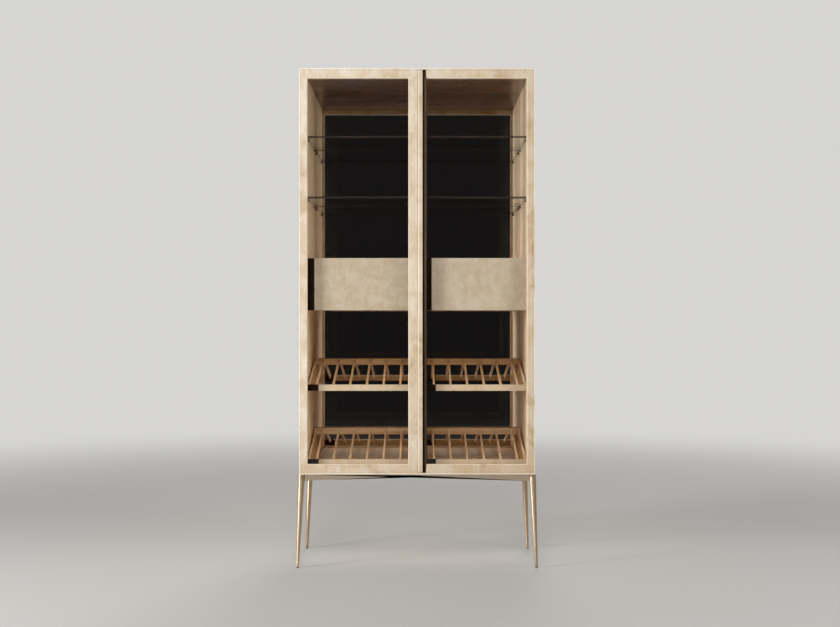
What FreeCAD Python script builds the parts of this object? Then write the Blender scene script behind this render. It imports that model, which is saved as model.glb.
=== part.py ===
"""Tall bar cabinet with glazed double doors, glass shelves, two drawers and four bottle racks on metal legs.

The origin is on the floor under the middle of the cabinet. X runs to the right, Y to the back, Z up.
"""
import FreeCAD, Part
import os
import Sketcher
from FreeCAD import Placement, Rotation, Vector
from itertools import count
from math import cos, hypot, radians, sin

doc = FreeCAD.newDocument("BarCabinet")


class Dim:
    """A length as a formula over the sheet's cells, together with its present value."""

    def __init__(self, text, value):
        self.text = text
        self.value = float(value)

    def _join(self, sign, other, value):
        return Dim("(%s %s %s)" % (self.text, sign, other.text), value)

    def __add__(self, other):
        return self._join("+", other, self.value + other.value)

    def __sub__(self, other):
        return self._join("-", other, self.value - other.value)

    def __mul__(self, share):
        return Dim("(%s * %s)" % (self.text, repr(share)), self.value * share)

    def __truediv__(self, divisor):
        return Dim("(%s / %s)" % (self.text, repr(divisor)), self.value / divisor)

    def __neg__(self):
        return Dim("(-1 * %s)" % self.text, -self.value)

    def scaled_by(self, upper, lower):
        """This length times the ratio of two others."""
        text = "(%s * %s / %s)" % (self.text, upper.text, lower.text)
        return Dim(text, self.value * upper.value / lower.value)


sheet = doc.addObject("Spreadsheet::Sheet", "Sizes")
sheet_rows = count(1)


def size(alias, value, meaning):
    """Write a driving size as the sheet's next row and give it as a length."""
    row = next(sheet_rows)
    sheet.set("A%d" % row, alias)
    sheet.set("B%d" % row, str(value))
    sheet.set("C%d" % row, meaning)
    sheet.setAlias("B%d" % row, alias)
    return Dim("Sizes." + alias, value)


def diagonal(*lengths):
    """The root of the sum of the squares of some lengths."""
    text = "sqrt(%s)" % " + ".join("(%s)^2" % length.text for length in lengths)
    return Dim(text, hypot(*[length.value for length in lengths]))


ZERO = Dim("0", 0)

# Driving sizes in millimetres
cabinet_width = size("cabinet_width", 900, "outside width of the body")
cabinet_depth = size("cabinet_depth", 450, "outside depth of the body")
body_height = size("body_height", 1550, "height of the body above the base frame")
leg_height = size("leg_height", 360, "floor to the underside of the body")
side_board = size("side_board", 22, "thickness of the side panels")
deck_board = size("deck_board", 20, "thickness of the top and bottom panels")
lip_width = size("lip_width", 5.5, "thin carcass edge that frames the inset doors")
back_board = size("back_board", 8, "thickness of the back panel")
back_housing = size("back_housing", 10, "how far the back panel is let into its neighbours")
loose_gap = size("loose_gap", 0.5, "play round panels, mirrors and glass")
seat_gap = size("seat_gap", 0.3, "play between pieces that rest beside each other")
mirror_glass = size("mirror_glass", 4, "thickness of the mirrors")
door_board = size("door_board", 18, "thickness of the door frames")
door_gap = size("door_gap", 1.5, "gap round the doors and between them")
door_buffer = size("door_buffer", 1.5, "gap behind the closed doors")
meeting_offset = size("meeting_offset", 1.75, "offset of the gap between the doors from the middle")
hinge_stile_width = size("hinge_stile_width", 19.5, "width of the hinge stiles without the glazing trim")
left_meeting_width = size("left_meeting_width", 29, "width of the left meeting stile without its trim")
right_meeting_width = size("right_meeting_width", 30.5, "width of the right meeting stile without its trim")
door_rail_width = size("door_rail_width", 27, "height of the door rails without the glazing trim")
door_edge_radius = size("door_edge_radius", 2, "rounding of the doors' outer front edges")
trim_width = size("trim_width", 5, "visible width of the glazing trim")
trim_bevel = size("trim_bevel", 2.5, "bevel of the glazing trim")
trim_front = size("trim_front", 7, "depth of the glazing trim in front of the glass")
door_glass = size("door_glass", 4, "thickness of the door glass")
glass_bite = size("glass_bite", 3, "how far the glass is let into its trim")
grip_nose_width = size("grip_nose_width", 4.5, "width of the bevelled nose of the grip strip")
grip_nose_depth = size("grip_nose_depth", 2, "depth of that bevel")
grip_strip_width = size("grip_strip_width", 18.5, "width of the grip strip in front of the finger groove")
grip_fall = size("grip_fall", 1.5, "how far the grip strip falls back towards the groove")
groove_depth = size("groove_depth", 13, "depth of the finger groove")
liner_sheet = size("liner_sheet", 1.2, "thickness of the groove's metal liner")
return_bead_width = size("return_bead_width", 4, "width of the bead over the groove's inner side")
return_bead_depth = size("return_bead_depth", 3, "depth of that bead")
pivot_inset = size("pivot_inset", 5, "distance of the door pivots from the door's edge and face")
pivot_radius = size("pivot_radius", 2.5, "radius of the pivot pins")
pivot_play = size("pivot_play", 0.05, "running clearance of the pivot pins")
pivot_plate_thickness = size("pivot_plate_thickness", 2.5, "thickness of the fixed pivot plates")
pivot_leaf_thickness = size("pivot_leaf_thickness", 3, "thickness of the leaves in the doors")
pivot_plate_width = size("pivot_plate_width", 12, "width of the pivot plates and leaves")
pivot_plate_length = size("pivot_plate_length", 52, "length of the pivot plates and leaves")
pivot_plate_margin = size("pivot_plate_margin", 1.5, "wood left in front of the pivot plates")
pivot_pin_reach = size("pivot_pin_reach", 9, "how far a pin stands out of its plate")
catch_length = size("catch_length", 60, "length of the magnetic door catch")
catch_depth = size("catch_depth", 14, "depth of the catch")
catch_height = size("catch_height", 9, "height of the catch")
catch_radius = size("catch_radius", 2, "rounding of the catch's rear edges")
shelf_glass = size("shelf_glass", 8, "thickness of the glass shelves")
shelf_setback = size("shelf_setback", 53, "front edge of the shelves behind the door faces")
shelf_end_gap = size("shelf_end_gap", 1.5, "gap at the ends of the shelves")
shelf_radius = size("shelf_radius", 1.5, "rounding of the shelves' front corners")
shelf_pin_radius = size("shelf_pin_radius", 2.5, "radius of the shelf pins' shanks")
shelf_pin_play = size("shelf_pin_play", 0.05, "clearance of the shanks in their holes")
shelf_pin_depth = size("shelf_pin_depth", 10, "depth of the shanks in the sides")
shelf_pin_head = size("shelf_pin_head", 4.5, "radius of the pins' heads")
shelf_pin_reach = size("shelf_pin_reach", 9, "how far the heads stand out")
shelf_pin_inset = size("shelf_pin_inset", 45, "distance of the pins from the shelf's front and rear edges")
inner_setback = size("inner_setback", 40, "drawer and rack fronts behind the door faces")
front_board = size("front_board", 18, "thickness of the drawer and rack fronts")
front_buffer = size("front_buffer", 1, "gap between the drawer fronts and their case")
front_end_gap = size("front_end_gap", 4, "gap between the fronts and the side panels")
front_meeting_gap = size("front_meeting_gap", 54, "distance between the left and right fronts")
drawer_rise = size("drawer_rise", 626.4, "lower edge of the drawer fronts above the body's underside")
drawer_front_height = size("drawer_front_height", 201, "height of the drawer fronts")
drawer_pull_width = size("drawer_pull_width", 29, "width of the finger recess beside a drawer front")
pull_sheet = size("pull_sheet", 2, "thickness of the bronze finger pulls")
finger_bevel = size("finger_bevel", 9, "undercut of the fronts beside their finger pulls")
case_board = size("case_board", 16, "thickness of the drawer case's boards")
case_margin = size("case_margin", 2, "how far the fronts stand over the case above and below")
post_width = size("post_width", 42, "width of the uprights between left and right")
runner_width = size("runner_width", 6, "side space that a slim runner takes")
runner_height = size("runner_height", 45, "height of the runners")
runner_rear_gap = size("runner_rear_gap", 39.7, "gap behind the runners")
runner_wall = size("runner_wall", 1.5, "sheet thickness of the runners")
box_board = size("box_board", 12, "thickness of the drawer boxes' boards")
box_height = size("box_height", 150, "height of the drawer boxes")
box_rear_gap = size("box_rear_gap", 24, "gap behind the drawer boxes")
box_floor_gap = size("box_floor_gap", 5, "gap under the drawer boxes")
bottom_board = size("bottom_board", 5, "thickness of the drawer bottoms")
bottom_lift = size("bottom_lift", 10, "height of the drawer bottoms above the boxes' lower edges")
bottom_bite = size("bottom_bite", 5, "how far the drawer bottoms are let into the boxes")
lower_rack_rise = size("lower_rack_rise", 29, "underside of the lower racks above the body's underside")
upper_rack_rise = size("upper_rack_rise", 316.6, "underside of the upper racks above the body's underside")
rack_rail_height = size("rack_rail_height", 24, "height of the racks' front rails")
rack_pull_width = size("rack_pull_width", 45, "width of the finger recess beside a rack's front rail")
rack_rear_gap = size("rack_rear_gap", 19, "gap behind the racks")
rear_rail_height = size("rear_rail_height", 25, "height of the racks' rear rails")
rear_rail_board = size("rear_rail_board", 16, "thickness of the racks' rear rails")
rack_climb = size("rack_climb", 87.4, "how far the racks climb from front to rear")
cheek_board = size("cheek_board", 8, "thickness of the racks' cheeks")
slat_count = size("slat_count", 6, "slats in a rack")
slat_outer_margin = size("slat_outer_margin", 25, "distance from the outer cheek to the nearest slat's middle")
slat_inner_margin = size("slat_inner_margin", 30, "distance from the inner cheek to the nearest slat's middle")
slat_width = size("slat_width", 7.5, "width of a slat")
slat_height = size("slat_height", 15, "height of a slat")
slat_drop = size("slat_drop", 2, "how far the slats lie under the rear rail's top")
rack_runner_lift = size("rack_runner_lift", 6, "lower edge of the rack runners above the racks' underside")
leg_top_radius = size("leg_top_radius", 14, "radius of the legs under the body")
leg_tip_radius = size("leg_tip_radius", 5.5, "radius of the legs at the floor")
leg_top_inset = size("leg_top_inset", 7, "top of the legs inside the body's sides")
leg_tip_splay = size("leg_tip_splay", 8, "tip of the legs outside the body's sides")
leg_top_setback = size("leg_top_setback", 30, "top of the legs inside the body's front and back")
leg_tip_setback = size("leg_tip_setback", 22, "tip of the legs inside the body's front and back")
leg_shoulder = size("leg_shoulder", 4, "rounding of the legs' upper edges")
corner_plate = size("corner_plate", 3, "thickness of the plates between legs and body")
corner_plate_width = size("corner_plate_width", 80, "width of those plates")
corner_plate_inset = size("corner_plate_inset", 4, "edge of the plates inside the body's outline")
glide_height = size("glide_height", 3, "height of the glides under the legs")
glide_radius = size("glide_radius", 4.5, "radius of the glides")
base_rail_board = size("base_rail_board", 10, "thickness of the base rails")
base_rail_height = size("base_rail_height", 25, "height of the base rails at the legs")
base_rail_middle = size("base_rail_middle", 4, "height of the base rails at their middle")
slats_per_rack = int(slat_count.value)

# Undersides of the glass shelves, as shares of the height between the drawer case and the top
lower_shelf_share = 0.3294
upper_shelf_share = 0.6608

doc.recompute()

# Where the rounding of the legs' shoulders is drawn, in degrees from its lower end, and a full turn
shoulder_angles = (0, 30, 60, 90)
full_turn = 360

# The origin plane that each pair of axes names
PLANES = {"XY": "XY_Plane", "XZ": "XZ_Plane", "YZ": "YZ_Plane"}


def place(thing, x, y, z):
    """Bind an object's position to the sheet."""
    for axis, length in (("x", x), ("y", y), ("z", z)):
        thing.setExpression("Placement.Base." + axis, length.text)


def box(label, x, y, z):
    """A board between two values of each axis, given as pairs."""
    board = doc.addObject("Part::Box", label)
    board.Label = label
    for name, (low, high) in (("Length", x), ("Width", y), ("Height", z)):
        board.setExpression(name, (high - low).text)
    place(board, x[0], y[0], z[0])
    return board


def rod(label, radius, height, x, y, z, turn=None):
    """A round rod that starts at a point and runs up, or along the axis that a turn gives."""
    bar = doc.addObject("Part::Cylinder", label)
    bar.setExpression("Radius", radius.text)
    bar.setExpression("Height", height.text)
    if turn:
        bar.Placement = Placement(Vector(), turn)
    place(bar, x, y, z)
    return bar


def fuse(label, pieces):
    """One solid of several that touch."""
    whole = doc.addObject("Part::MultiFuse", label)
    whole.Label = label
    whole.Shapes = pieces
    return whole


def group(label, pieces):
    """Like pieces that stay separate solids in one sub-part."""
    whole = doc.addObject("Part::Compound", label)
    whole.Label = label
    whole.Links = pieces
    return whole


def sketch_on(body, plane, level):
    """A sketch on one of the body's origin planes, moved along its normal to a level."""
    sketch = body.newObject("Sketcher::SketchObject", body.Name + "_sketch")
    role = PLANES[plane]
    datum = [feature for feature in body.Origin.OriginFeatures if feature.Role == role][0]
    sketch.AttachmentSupport = [(datum, "")]
    sketch.MapMode = "FlatFace"
    offset = -level if plane == "XZ" else level
    sketch.setExpression("AttachmentOffset.Base.z", offset.text)
    return sketch


def pin_down(sketch, geometry, end, across, up):
    """Tie a point of a sketch to the origin by two bound distances."""
    ties = (("DistanceX", across, -2), ("DistanceY", up, -1))
    for kind, length, axis in ties:
        if length.text == ZERO.text:
            sketch.addConstraint(Sketcher.Constraint("PointOnObject", geometry, end, axis))
            continue
        tie = Sketcher.Constraint(kind, -1, 1, geometry, end, length.value)
        index = sketch.addConstraint(tie)
        name = "%s_%d" % (kind, index)
        sketch.renameConstraint(index, name)
        sketch.setExpression("Constraints." + name, length.text)


def draw_outline(sketch, points):
    """A closed outline of straight lines through points given as pairs of lengths."""
    first = sketch.GeometryCount
    corners = [Vector(across.value, up.value, 0) for across, up in points]
    following = corners[1:] + corners[:1]
    for start, end in zip(corners, following):
        sketch.addGeometry(Part.LineSegment(start, end), False)
    count = len(points)
    for number, (across, up) in enumerate(points):
        after = first + (number + 1) % count
        sketch.addConstraint(Sketcher.Constraint("Coincident", first + number, 2, after, 1))
        pin_down(sketch, first + number, 1, across, up)


def draw_circle(sketch, across, up, radius):
    """A circle with a bound centre and radius."""
    centre = Vector(across.value, up.value, 0)
    circle = sketch.addGeometry(Part.Circle(centre, Vector(0, 0, 1), radius.value), False)
    pin_down(sketch, circle, 3, across, up)
    index = sketch.addConstraint(Sketcher.Constraint("Radius", circle, radius.value))
    name = "Radius_%d" % index
    sketch.renameConstraint(index, name)
    sketch.setExpression("Constraints." + name, radius.text)


def new_body(label):
    """An empty body of this label."""
    body = doc.addObject("PartDesign::Body", label)
    body.Label = label
    return body


def add(body, plane, outlines, low, high):
    """Pad outlines on a plane from one level to another."""
    sketch = sketch_on(body, plane, low)
    for points in outlines:
        draw_outline(sketch, points)
    pad = body.newObject("PartDesign::Pad", body.Name + "_pad")
    pad.Profile = sketch
    pad.setExpression("Length", (high - low).text)
    pad.Reversed = plane == "XZ"
    doc.recompute()
    return pad


def carve(body, plane, outlines, low, high):
    """Pocket outlines on a plane from one level to another, and see that it cuts."""
    before = body.Shape.Volume
    sketch = sketch_on(body, plane, low)
    for points in outlines:
        draw_outline(sketch, points)
    return finish_pocket(body, plane, sketch, high - low, before)


def drill(body, plane, centres, radius, low, high):
    """Round blind holes at several centres on a plane."""
    before = body.Shape.Volume
    sketch = sketch_on(body, plane, low)
    for across, up in centres:
        draw_circle(sketch, across, up, radius)
    return finish_pocket(body, plane, sketch, high - low, before)


def finish_pocket(body, plane, sketch, depth, before):
    """Cut a sketch's outlines along its plane's axis."""
    pocket = body.newObject("PartDesign::Pocket", body.Name + "_pocket")
    pocket.Profile = sketch
    pocket.setExpression("Length", depth.text)
    pocket.Reversed = plane != "XZ"
    doc.recompute()
    if body.Shape.Volume >= before:
        raise RuntimeError("a pocket of %s cuts nothing" % body.Label)
    return pocket


def dress(body, kind, length, chosen):
    """Round or bevel the edges of a body whose two ends both satisfy a test."""
    names = []
    for number, edge in enumerate(body.Shape.Edges, start=1):
        ends = [vertex.Point for vertex in edge.Vertexes]
        if ends and all(chosen(point) for point in ends):
            names.append("Edge%d" % number)
    if not names:
        raise RuntimeError("no edge of %s to work on" % body.Label)
    base = body.Tip
    feature = body.newObject("PartDesign::" + kind, body.Name + "_" + kind.lower())
    feature.Base = (base, names)
    feature.setExpression("Radius" if kind == "Fillet" else "Size", length.text)
    doc.recompute()
    return feature


def near(value, length):
    """Whether a coordinate lies at a length, for choosing edges."""
    return abs(value - length.value) < 1e-4 * cabinet_depth.value


def rectangle(across, up):
    """The four corners between two pairs of values."""
    left, right = across
    low, high = up
    return [(left, low), (right, low), (right, high), (left, high)]


# Planes and edges that several pieces share
side_x = cabinet_width / 2
inner_x = side_x - side_board
front_y = -(cabinet_depth / 2)
back_y = cabinet_depth / 2
body_low = leg_height
body_top = leg_height + body_height
floor_z = body_low + deck_board
ceiling_z = body_top - deck_board
door_back_y = front_y + door_board
panel_front_y = door_back_y + door_buffer
back_panel_y = back_y - back_board
mirror_y = back_panel_y - mirror_glass
lip_inner_x = side_x - lip_width
housing_x = inner_x + back_housing
door_low = body_low + lip_width + door_gap
door_top = body_top - lip_width - door_gap
door_edge_x = lip_inner_x - door_gap
left_meeting_x = meeting_offset - door_gap / 2
right_meeting_x = meeting_offset + door_gap / 2
pivot_x = door_edge_x - pivot_inset
pivot_y = front_y + pivot_inset
plate_y = (front_y + pivot_plate_margin, front_y + pivot_plate_margin + pivot_plate_width)
plate_outer_x = door_edge_x - pivot_plate_margin
plate_inner_x = plate_outer_x - pivot_plate_length
shelf_front_y = front_y + shelf_setback
shelf_back_y = mirror_y - loose_gap
inner_front_y = front_y + inner_setback
inner_board_y = inner_front_y + front_board
case_front_y = inner_board_y + front_buffer
case_low = body_low + drawer_rise + case_margin
case_top = case_low + drawer_front_height - case_margin * 2
shelf_space = ceiling_z - case_top
shelf_levels = (
    case_top + shelf_space * lower_shelf_share,
    case_top + shelf_space * upper_shelf_share,
)
case_inner_low = case_low + case_board
case_inner_top = case_top - case_board
post_x = post_width / 2
front_outer_x = inner_x - front_end_gap
front_inner_x = front_meeting_gap / 2
box_outer_x = inner_x - runner_width
box_inner_x = post_x + runner_width
unit_x = (inner_x + post_x) / 2
rack_back_y = mirror_y - rack_rear_gap
rear_rail_y = rack_back_y - rear_rail_board
rack_levels = {"lower": body_low + lower_rack_rise, "upper": body_low + upper_rack_rise}
runner_y = (inner_board_y + seat_gap, mirror_y - runner_rear_gap)
box_low = case_inner_low + box_floor_gap
drawer_runner_low = box_low + (box_height - runner_height) / 2
glass_y = (front_y + trim_front, front_y + trim_front + door_glass)
top_x = side_x - leg_top_inset
tip_x = side_x + leg_tip_splay
top_y = back_y - leg_top_setback
tip_y = back_y - leg_tip_setback
leg_top = leg_height - corner_plate
leg_root = leg_height - corner_plate / 2


def side_panel(label, sign):
    """A side: a board with a door rebate in front, a housing for the back and shelf pin holes."""
    outline = [
        (side_x, front_y),
        (side_x, back_y),
        (housing_x, back_y),
        (housing_x, back_panel_y),
        (inner_x, back_panel_y),
        (inner_x, panel_front_y),
        (lip_inner_x, panel_front_y),
        (lip_inner_x, front_y),
    ]
    body = new_body(label)
    add(body, "XY", [[(x * sign, y) for x, y in outline]], body_low, body_top)
    centres = []
    for level in shelf_levels:
        for y in shelf_pin_rows():
            centres.append((y, level - shelf_pin_head))
    hole = (inner_x, inner_x + shelf_pin_depth)
    low, high = hole if sign > 0 else (-hole[1], -hole[0])
    drill(body, "YZ", centres, shelf_pin_radius + shelf_pin_play, low, high)
    return body


def shelf_pin_rows():
    """The two depths at which the shelf pins stand."""
    return (shelf_front_y + shelf_pin_inset, shelf_back_y - shelf_pin_inset)


def deck_panel(label, outer, inner, lip, housing):
    """The top or bottom: a board with a thin lip in front that reaches to the side panels' lips."""
    low, high = (inner, outer) if outer.value > inner.value else (outer, inner)
    outline = [
        (panel_front_y, inner),
        (back_panel_y, inner),
        (back_panel_y, housing),
        (back_y, housing),
        (back_y, outer),
        (front_y, outer),
        (front_y, lip),
        (panel_front_y, lip),
    ]
    body = new_body(label)
    add(body, "YZ", [outline], -inner_x, inner_x)
    ears = [rectangle((x1, x2), (front_y, panel_front_y)) for x1, x2 in ear_spans()]
    lip_low, lip_high = (lip, outer) if outer.value > lip.value else (outer, lip)
    add(body, "XY", ears, lip_low, lip_high)
    recesses = [rectangle(span, plate_y) for span in plate_spans()]
    if outer.value > inner.value:
        carve(body, "XY", recesses, lip, lip + pivot_plate_thickness)
    else:
        carve(body, "XY", recesses, lip - pivot_plate_thickness, lip)
    return body


def ear_spans():
    """The two stretches by which a lip passes beyond its board."""
    return ((-lip_inner_x, -inner_x), (inner_x, lip_inner_x))


def plate_spans():
    """The two stretches that the pivot plates take."""
    return ((-plate_outer_x, -plate_inner_x), (plate_inner_x, plate_outer_x))


def make_carcass():
    """The body's boards, back and mirrors."""
    side_panel("side_panel_left", -1)
    side_panel("side_panel_right", 1)
    lip_top = body_top - lip_width
    lip_low = body_low + lip_width
    deck_panel("top_panel", body_top, ceiling_z, lip_top, body_top - back_housing)
    deck_panel("bottom_panel", body_low, floor_z, lip_low, body_low + back_housing)
    across = housing_x - loose_gap
    up = (body_low + back_housing + loose_gap, body_top - back_housing - loose_gap)
    box("back_panel", (-across, across), (back_panel_y, back_y), up)
    glass_x = inner_x - loose_gap
    depth = (mirror_y, back_panel_y)
    box("mirror_upper", (-glass_x, glass_x), depth, (case_top + loose_gap, ceiling_z - loose_gap))
    box("mirror_lower", (-glass_x, glass_x), depth, (floor_z + loose_gap, case_low - loose_gap))


def make_drawer_case():
    """The boards that carry the drawers, and the upright between the racks."""
    depth = (case_front_y, back_panel_y)
    box("drawer_case_top", (-inner_x, inner_x), depth, (case_inner_top, case_top))
    box("drawer_case_floor", (-inner_x, inner_x), depth, (case_low, case_inner_low))
    box("drawer_divider", (-post_x, post_x), depth, (case_inner_low, case_inner_top))
    box("central_upright", (-post_x, post_x), (case_front_y, mirror_y), (floor_z, case_low))


def make_shelves():
    """Two glass shelves on four metal pins each."""
    across = inner_x - shelf_end_gap
    for label, level in zip(("glass_shelf_lower", "glass_shelf_upper"), shelf_levels):
        body = new_body(label)
        plan = rectangle((-across, across), (shelf_front_y, shelf_back_y))
        add(body, "XY", [plan], level, level + shelf_glass)
        dress(body, "Fillet", shelf_radius, lambda point: near(point.y, shelf_front_y))
    pins = []
    for level in shelf_levels:
        for y in shelf_pin_rows():
            for sign in (-1, 1):
                pins.append(shelf_pin("shelf_pin_%d" % len(pins), sign, y, level))
    group("shelf_pins", pins)


def shelf_pin(label, sign, y, level):
    """A shank in the side panel with a thicker head under the glass."""
    turn = Rotation(Vector(0, 1, 0), 90 * sign)
    z = level - shelf_pin_head
    shank_depth = shelf_pin_depth - loose_gap
    shank = rod(label + "_shank", shelf_pin_radius, shank_depth, inner_x * sign, y, z, turn)
    head_x = (inner_x - shelf_pin_reach) * sign
    head = rod(label + "_head", shelf_pin_head, shelf_pin_reach, head_x, y, z, turn)
    return fuse(label, [shank, head])


def make_door(side, sign, meeting_x, meeting_width):
    """One framed glass door: two stiles, two rails, the glass in its trim and the pivot leaves."""
    name = "door_%s_" % side
    depth = (front_y, door_back_y)
    hinge_inner_x = (door_edge_x - hinge_stile_width) * sign
    meeting_inner_x = meeting_x + meeting_width * sign
    stile = new_body(name + "hinge_stile")
    add(stile, "XY", [rectangle((hinge_inner_x, door_edge_x * sign), depth)], door_low, door_top)
    outer = door_edge_x * sign
    dress(stile, "Fillet", door_edge_radius, lambda point: near(point.x, outer) and near(point.y, front_y))
    for low, high in leaf_levels():
        span = (plate_inner_x * sign, plate_outer_x * sign)
        carve(stile, "XY", [rectangle(span, plate_y)], low, high)
    bores = [(pivot_x * sign, pivot_y)]
    pin_end = pivot_pin_reach + loose_gap - door_gap
    hole = pivot_radius + pivot_play
    drill(stile, "XY", bores, hole, door_low + pivot_leaf_thickness, door_low + pin_end)
    drill(stile, "XY", bores, hole, door_top - pin_end, door_top - pivot_leaf_thickness)
    rails = []
    across = (hinge_inner_x, meeting_inner_x)
    rail_levels = (
        (door_low, door_low + door_rail_width),
        (door_top - door_rail_width, door_top),
    )
    for number, up in enumerate(rail_levels):
        rail = new_body("%srail_%d" % (name, number))
        add(rail, "XZ", [rectangle(across, up)], *depth)
        low, high = leaf_levels()[number]
        span = (plate_inner_x * sign, hinge_inner_x)
        carve(rail, "XY", [rectangle(span, plate_y)], low, high)
        rails.append(rail)
    group(name + "rails", rails)
    trim_and_glass(name, hinge_inner_x, meeting_inner_x, sign)
    leaves = []
    for number, (low, high) in enumerate(leaf_levels()):
        leaf = new_body("%sleaf_%d" % (name, number))
        add(leaf, "XY", [rectangle((plate_inner_x * sign, plate_outer_x * sign), plate_y)], low, high)
        drill(leaf, "XY", bores, hole, low, high)
        leaves.append(leaf)
    group(name + "pivot_leaves", leaves)


def leaf_levels():
    """The lower and upper leaves' levels in a door."""
    return (
        (door_low, door_low + pivot_leaf_thickness),
        (door_top - pivot_leaf_thickness, door_top),
    )


def trim_and_glass(name, hinge_inner_x, meeting_inner_x, sign):
    """A bevelled metal frame whose inner groove holds the glass."""
    low = door_low + door_rail_width
    high = door_top - door_rail_width
    trim_x = trim_width * sign
    outside = rectangle((hinge_inner_x, meeting_inner_x), (low, high))
    opening_x = (hinge_inner_x - trim_x, meeting_inner_x + trim_x)
    opening = rectangle(opening_x, (low + trim_width, high - trim_width))
    trim = new_body(name + "trim")
    add(trim, "XZ", [outside, opening], front_y, door_back_y)
    bite_x = glass_bite * sign
    groove_x = (opening_x[0] + bite_x, opening_x[1] - bite_x)
    groove_z = (low + trim_width - glass_bite, high - trim_width + glass_bite)
    carve(trim, "XZ", [rectangle(groove_x, groove_z)], *glass_y)

    def on_front_of_opening(point):
        beside = near(point.x, opening_x[0]) or near(point.x, opening_x[1])
        return near(point.y, front_y) and beside

    dress(trim, "Chamfer", trim_bevel, on_front_of_opening)
    play_x = loose_gap / 2 * sign
    play_z = loose_gap / 2
    glass_x = (groove_x[0] - play_x, groove_x[1] + play_x)
    pane = new_body(name + "glass")
    pane_z = (groove_z[0] + play_z, groove_z[1] - play_z)
    add(pane, "XZ", [rectangle(glass_x, pane_z)], *glass_y)


def make_meeting_stiles():
    """The plain left meeting stile, and the right one with its grip strip and finger groove."""
    left = new_body("door_left_meeting_stile")
    across = (left_meeting_x - left_meeting_width, left_meeting_x)
    add(left, "XY", [rectangle(across, (front_y, door_back_y))], door_low, door_top)
    strip_x = right_meeting_x + grip_strip_width
    stile_x = right_meeting_x + right_meeting_width
    groove_y = front_y + groove_depth
    outline = [
        (right_meeting_x, front_y + grip_nose_depth),
        (right_meeting_x + grip_nose_width, front_y),
        (strip_x, front_y + grip_fall),
        (strip_x, door_back_y),
        (right_meeting_x, door_back_y),
    ]
    strip = new_body("door_right_grip_strip")
    add(strip, "XY", [outline], door_low, door_top)
    box("door_right_meeting_stile", (strip_x, stile_x), (groove_y, door_back_y), (door_low, door_top))
    liner_front = front_y + grip_fall + liner_sheet
    outline = [
        (strip_x, liner_front),
        (strip_x + liner_sheet, liner_front),
        (strip_x + liner_sheet, groove_y - liner_sheet),
        (stile_x, groove_y - liner_sheet),
        (stile_x, groove_y),
        (strip_x, groove_y),
    ]
    liner = new_body("door_right_groove_liner")
    add(liner, "XY", [outline], door_low, door_top)
    bead_z = (door_low + door_rail_width, door_top - door_rail_width)
    bead_x = (stile_x - return_bead_width, stile_x)
    box("door_right_return_bead", bead_x, (front_y, front_y + return_bead_depth), bead_z)


def make_pivots_and_catch():
    """The fixed pivot plates with their pins, and the magnetic catch under the top."""
    plates = []
    lip_low = body_low + lip_width
    lip_top = body_top - lip_width
    for sign in (-1, 1):
        x1 = plate_inner_x * sign
        x2 = plate_outer_x * sign
        span = (x1, x2) if sign > 0 else (x2, x1)
        for plate_low, pin_low in (
            (lip_low - pivot_plate_thickness, lip_low),
            (lip_top, lip_top - pivot_pin_reach),
        ):
            number = len(plates)
            up = (plate_low, plate_low + pivot_plate_thickness)
            plate = box("plate_%d" % number, span, plate_y, up)
            pin = rod("pin_%d" % number, pivot_radius, pivot_pin_reach, pivot_x * sign, pivot_y, pin_low)
            plates.append(fuse("pivot_plate_%d" % number, [plate, pin]))
    group("pivot_plates", plates)
    catch_x = (meeting_offset - catch_length / 2, meeting_offset + catch_length / 2)
    catch_y = (door_back_y + seat_gap, door_back_y + seat_gap + catch_depth)
    housing = new_body("door_catch")
    add(housing, "XY", [rectangle(catch_x, catch_y)], ceiling_z - catch_height, ceiling_z)
    dress(housing, "Fillet", catch_radius, lambda point: near(point.y, catch_y[1]))


def unit_spans(sign):
    """The recess and the front of a left or right unit, from left to right; every recess is on the left."""
    if sign > 0:
        return (front_inner_x, front_outer_x)
    return (-front_outer_x, -front_inner_x)


def make_front(name, board, recess, left, right, low, high):
    """A board whose left end is cut back behind, and the bronze finger pull beside it."""
    board_left = left + recess
    outline = [
        (board_left, inner_front_y),
        (right, inner_front_y),
        (right, inner_board_y),
        (board_left + finger_bevel, inner_board_y),
    ]
    front = new_body(name + board)
    add(front, "XY", [outline], low, high)
    web_y = inner_board_y - pull_sheet
    slant = finger_bevel.scaled_by(front_board - pull_sheet, front_board)
    outline = [
        (left, inner_front_y),
        (left + pull_sheet, inner_front_y),
        (left + pull_sheet, web_y),
        (board_left + slant, web_y),
        (board_left + finger_bevel, inner_board_y),
        (left, inner_board_y),
    ]
    pull = new_body(name + "pull")
    add(pull, "XY", [outline], low, high)


def make_drawer(side, sign):
    """A drawer: front, finger pull, grooved box and its bottom."""
    name = "drawer_%s_" % side
    left, right = unit_spans(sign)
    low = body_low + drawer_rise
    make_front(name, "front", drawer_pull_width, left, right, low, low + drawer_front_height)
    x = (box_inner_x, box_outer_x) if sign > 0 else (-box_outer_x, -box_inner_x)
    y = (inner_board_y, back_panel_y - box_rear_gap)
    inside_x = (x[0] + box_board, x[1] - box_board)
    inside_y = (y[0] + box_board, y[1] - box_board)
    tray = new_body(name + "box")
    add(tray, "XY", [rectangle(x, y), rectangle(inside_x, inside_y)], box_low, box_low + box_height)
    groove_x = (inside_x[0] - bottom_bite, inside_x[1] + bottom_bite)
    groove_y = (inside_y[0] - bottom_bite, inside_y[1] + bottom_bite)
    bottom_low = box_low + bottom_lift
    bottom_high = bottom_low + bottom_board
    carve(tray, "XY", [rectangle(groove_x, groove_y)], bottom_low, bottom_high)
    play = loose_gap
    bottom_x = (groove_x[0] + play, groove_x[1] - play)
    bottom_y = (groove_y[0] + play, groove_y[1] - play)
    box(name + "bottom", bottom_x, bottom_y, (bottom_low, bottom_high))


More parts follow.
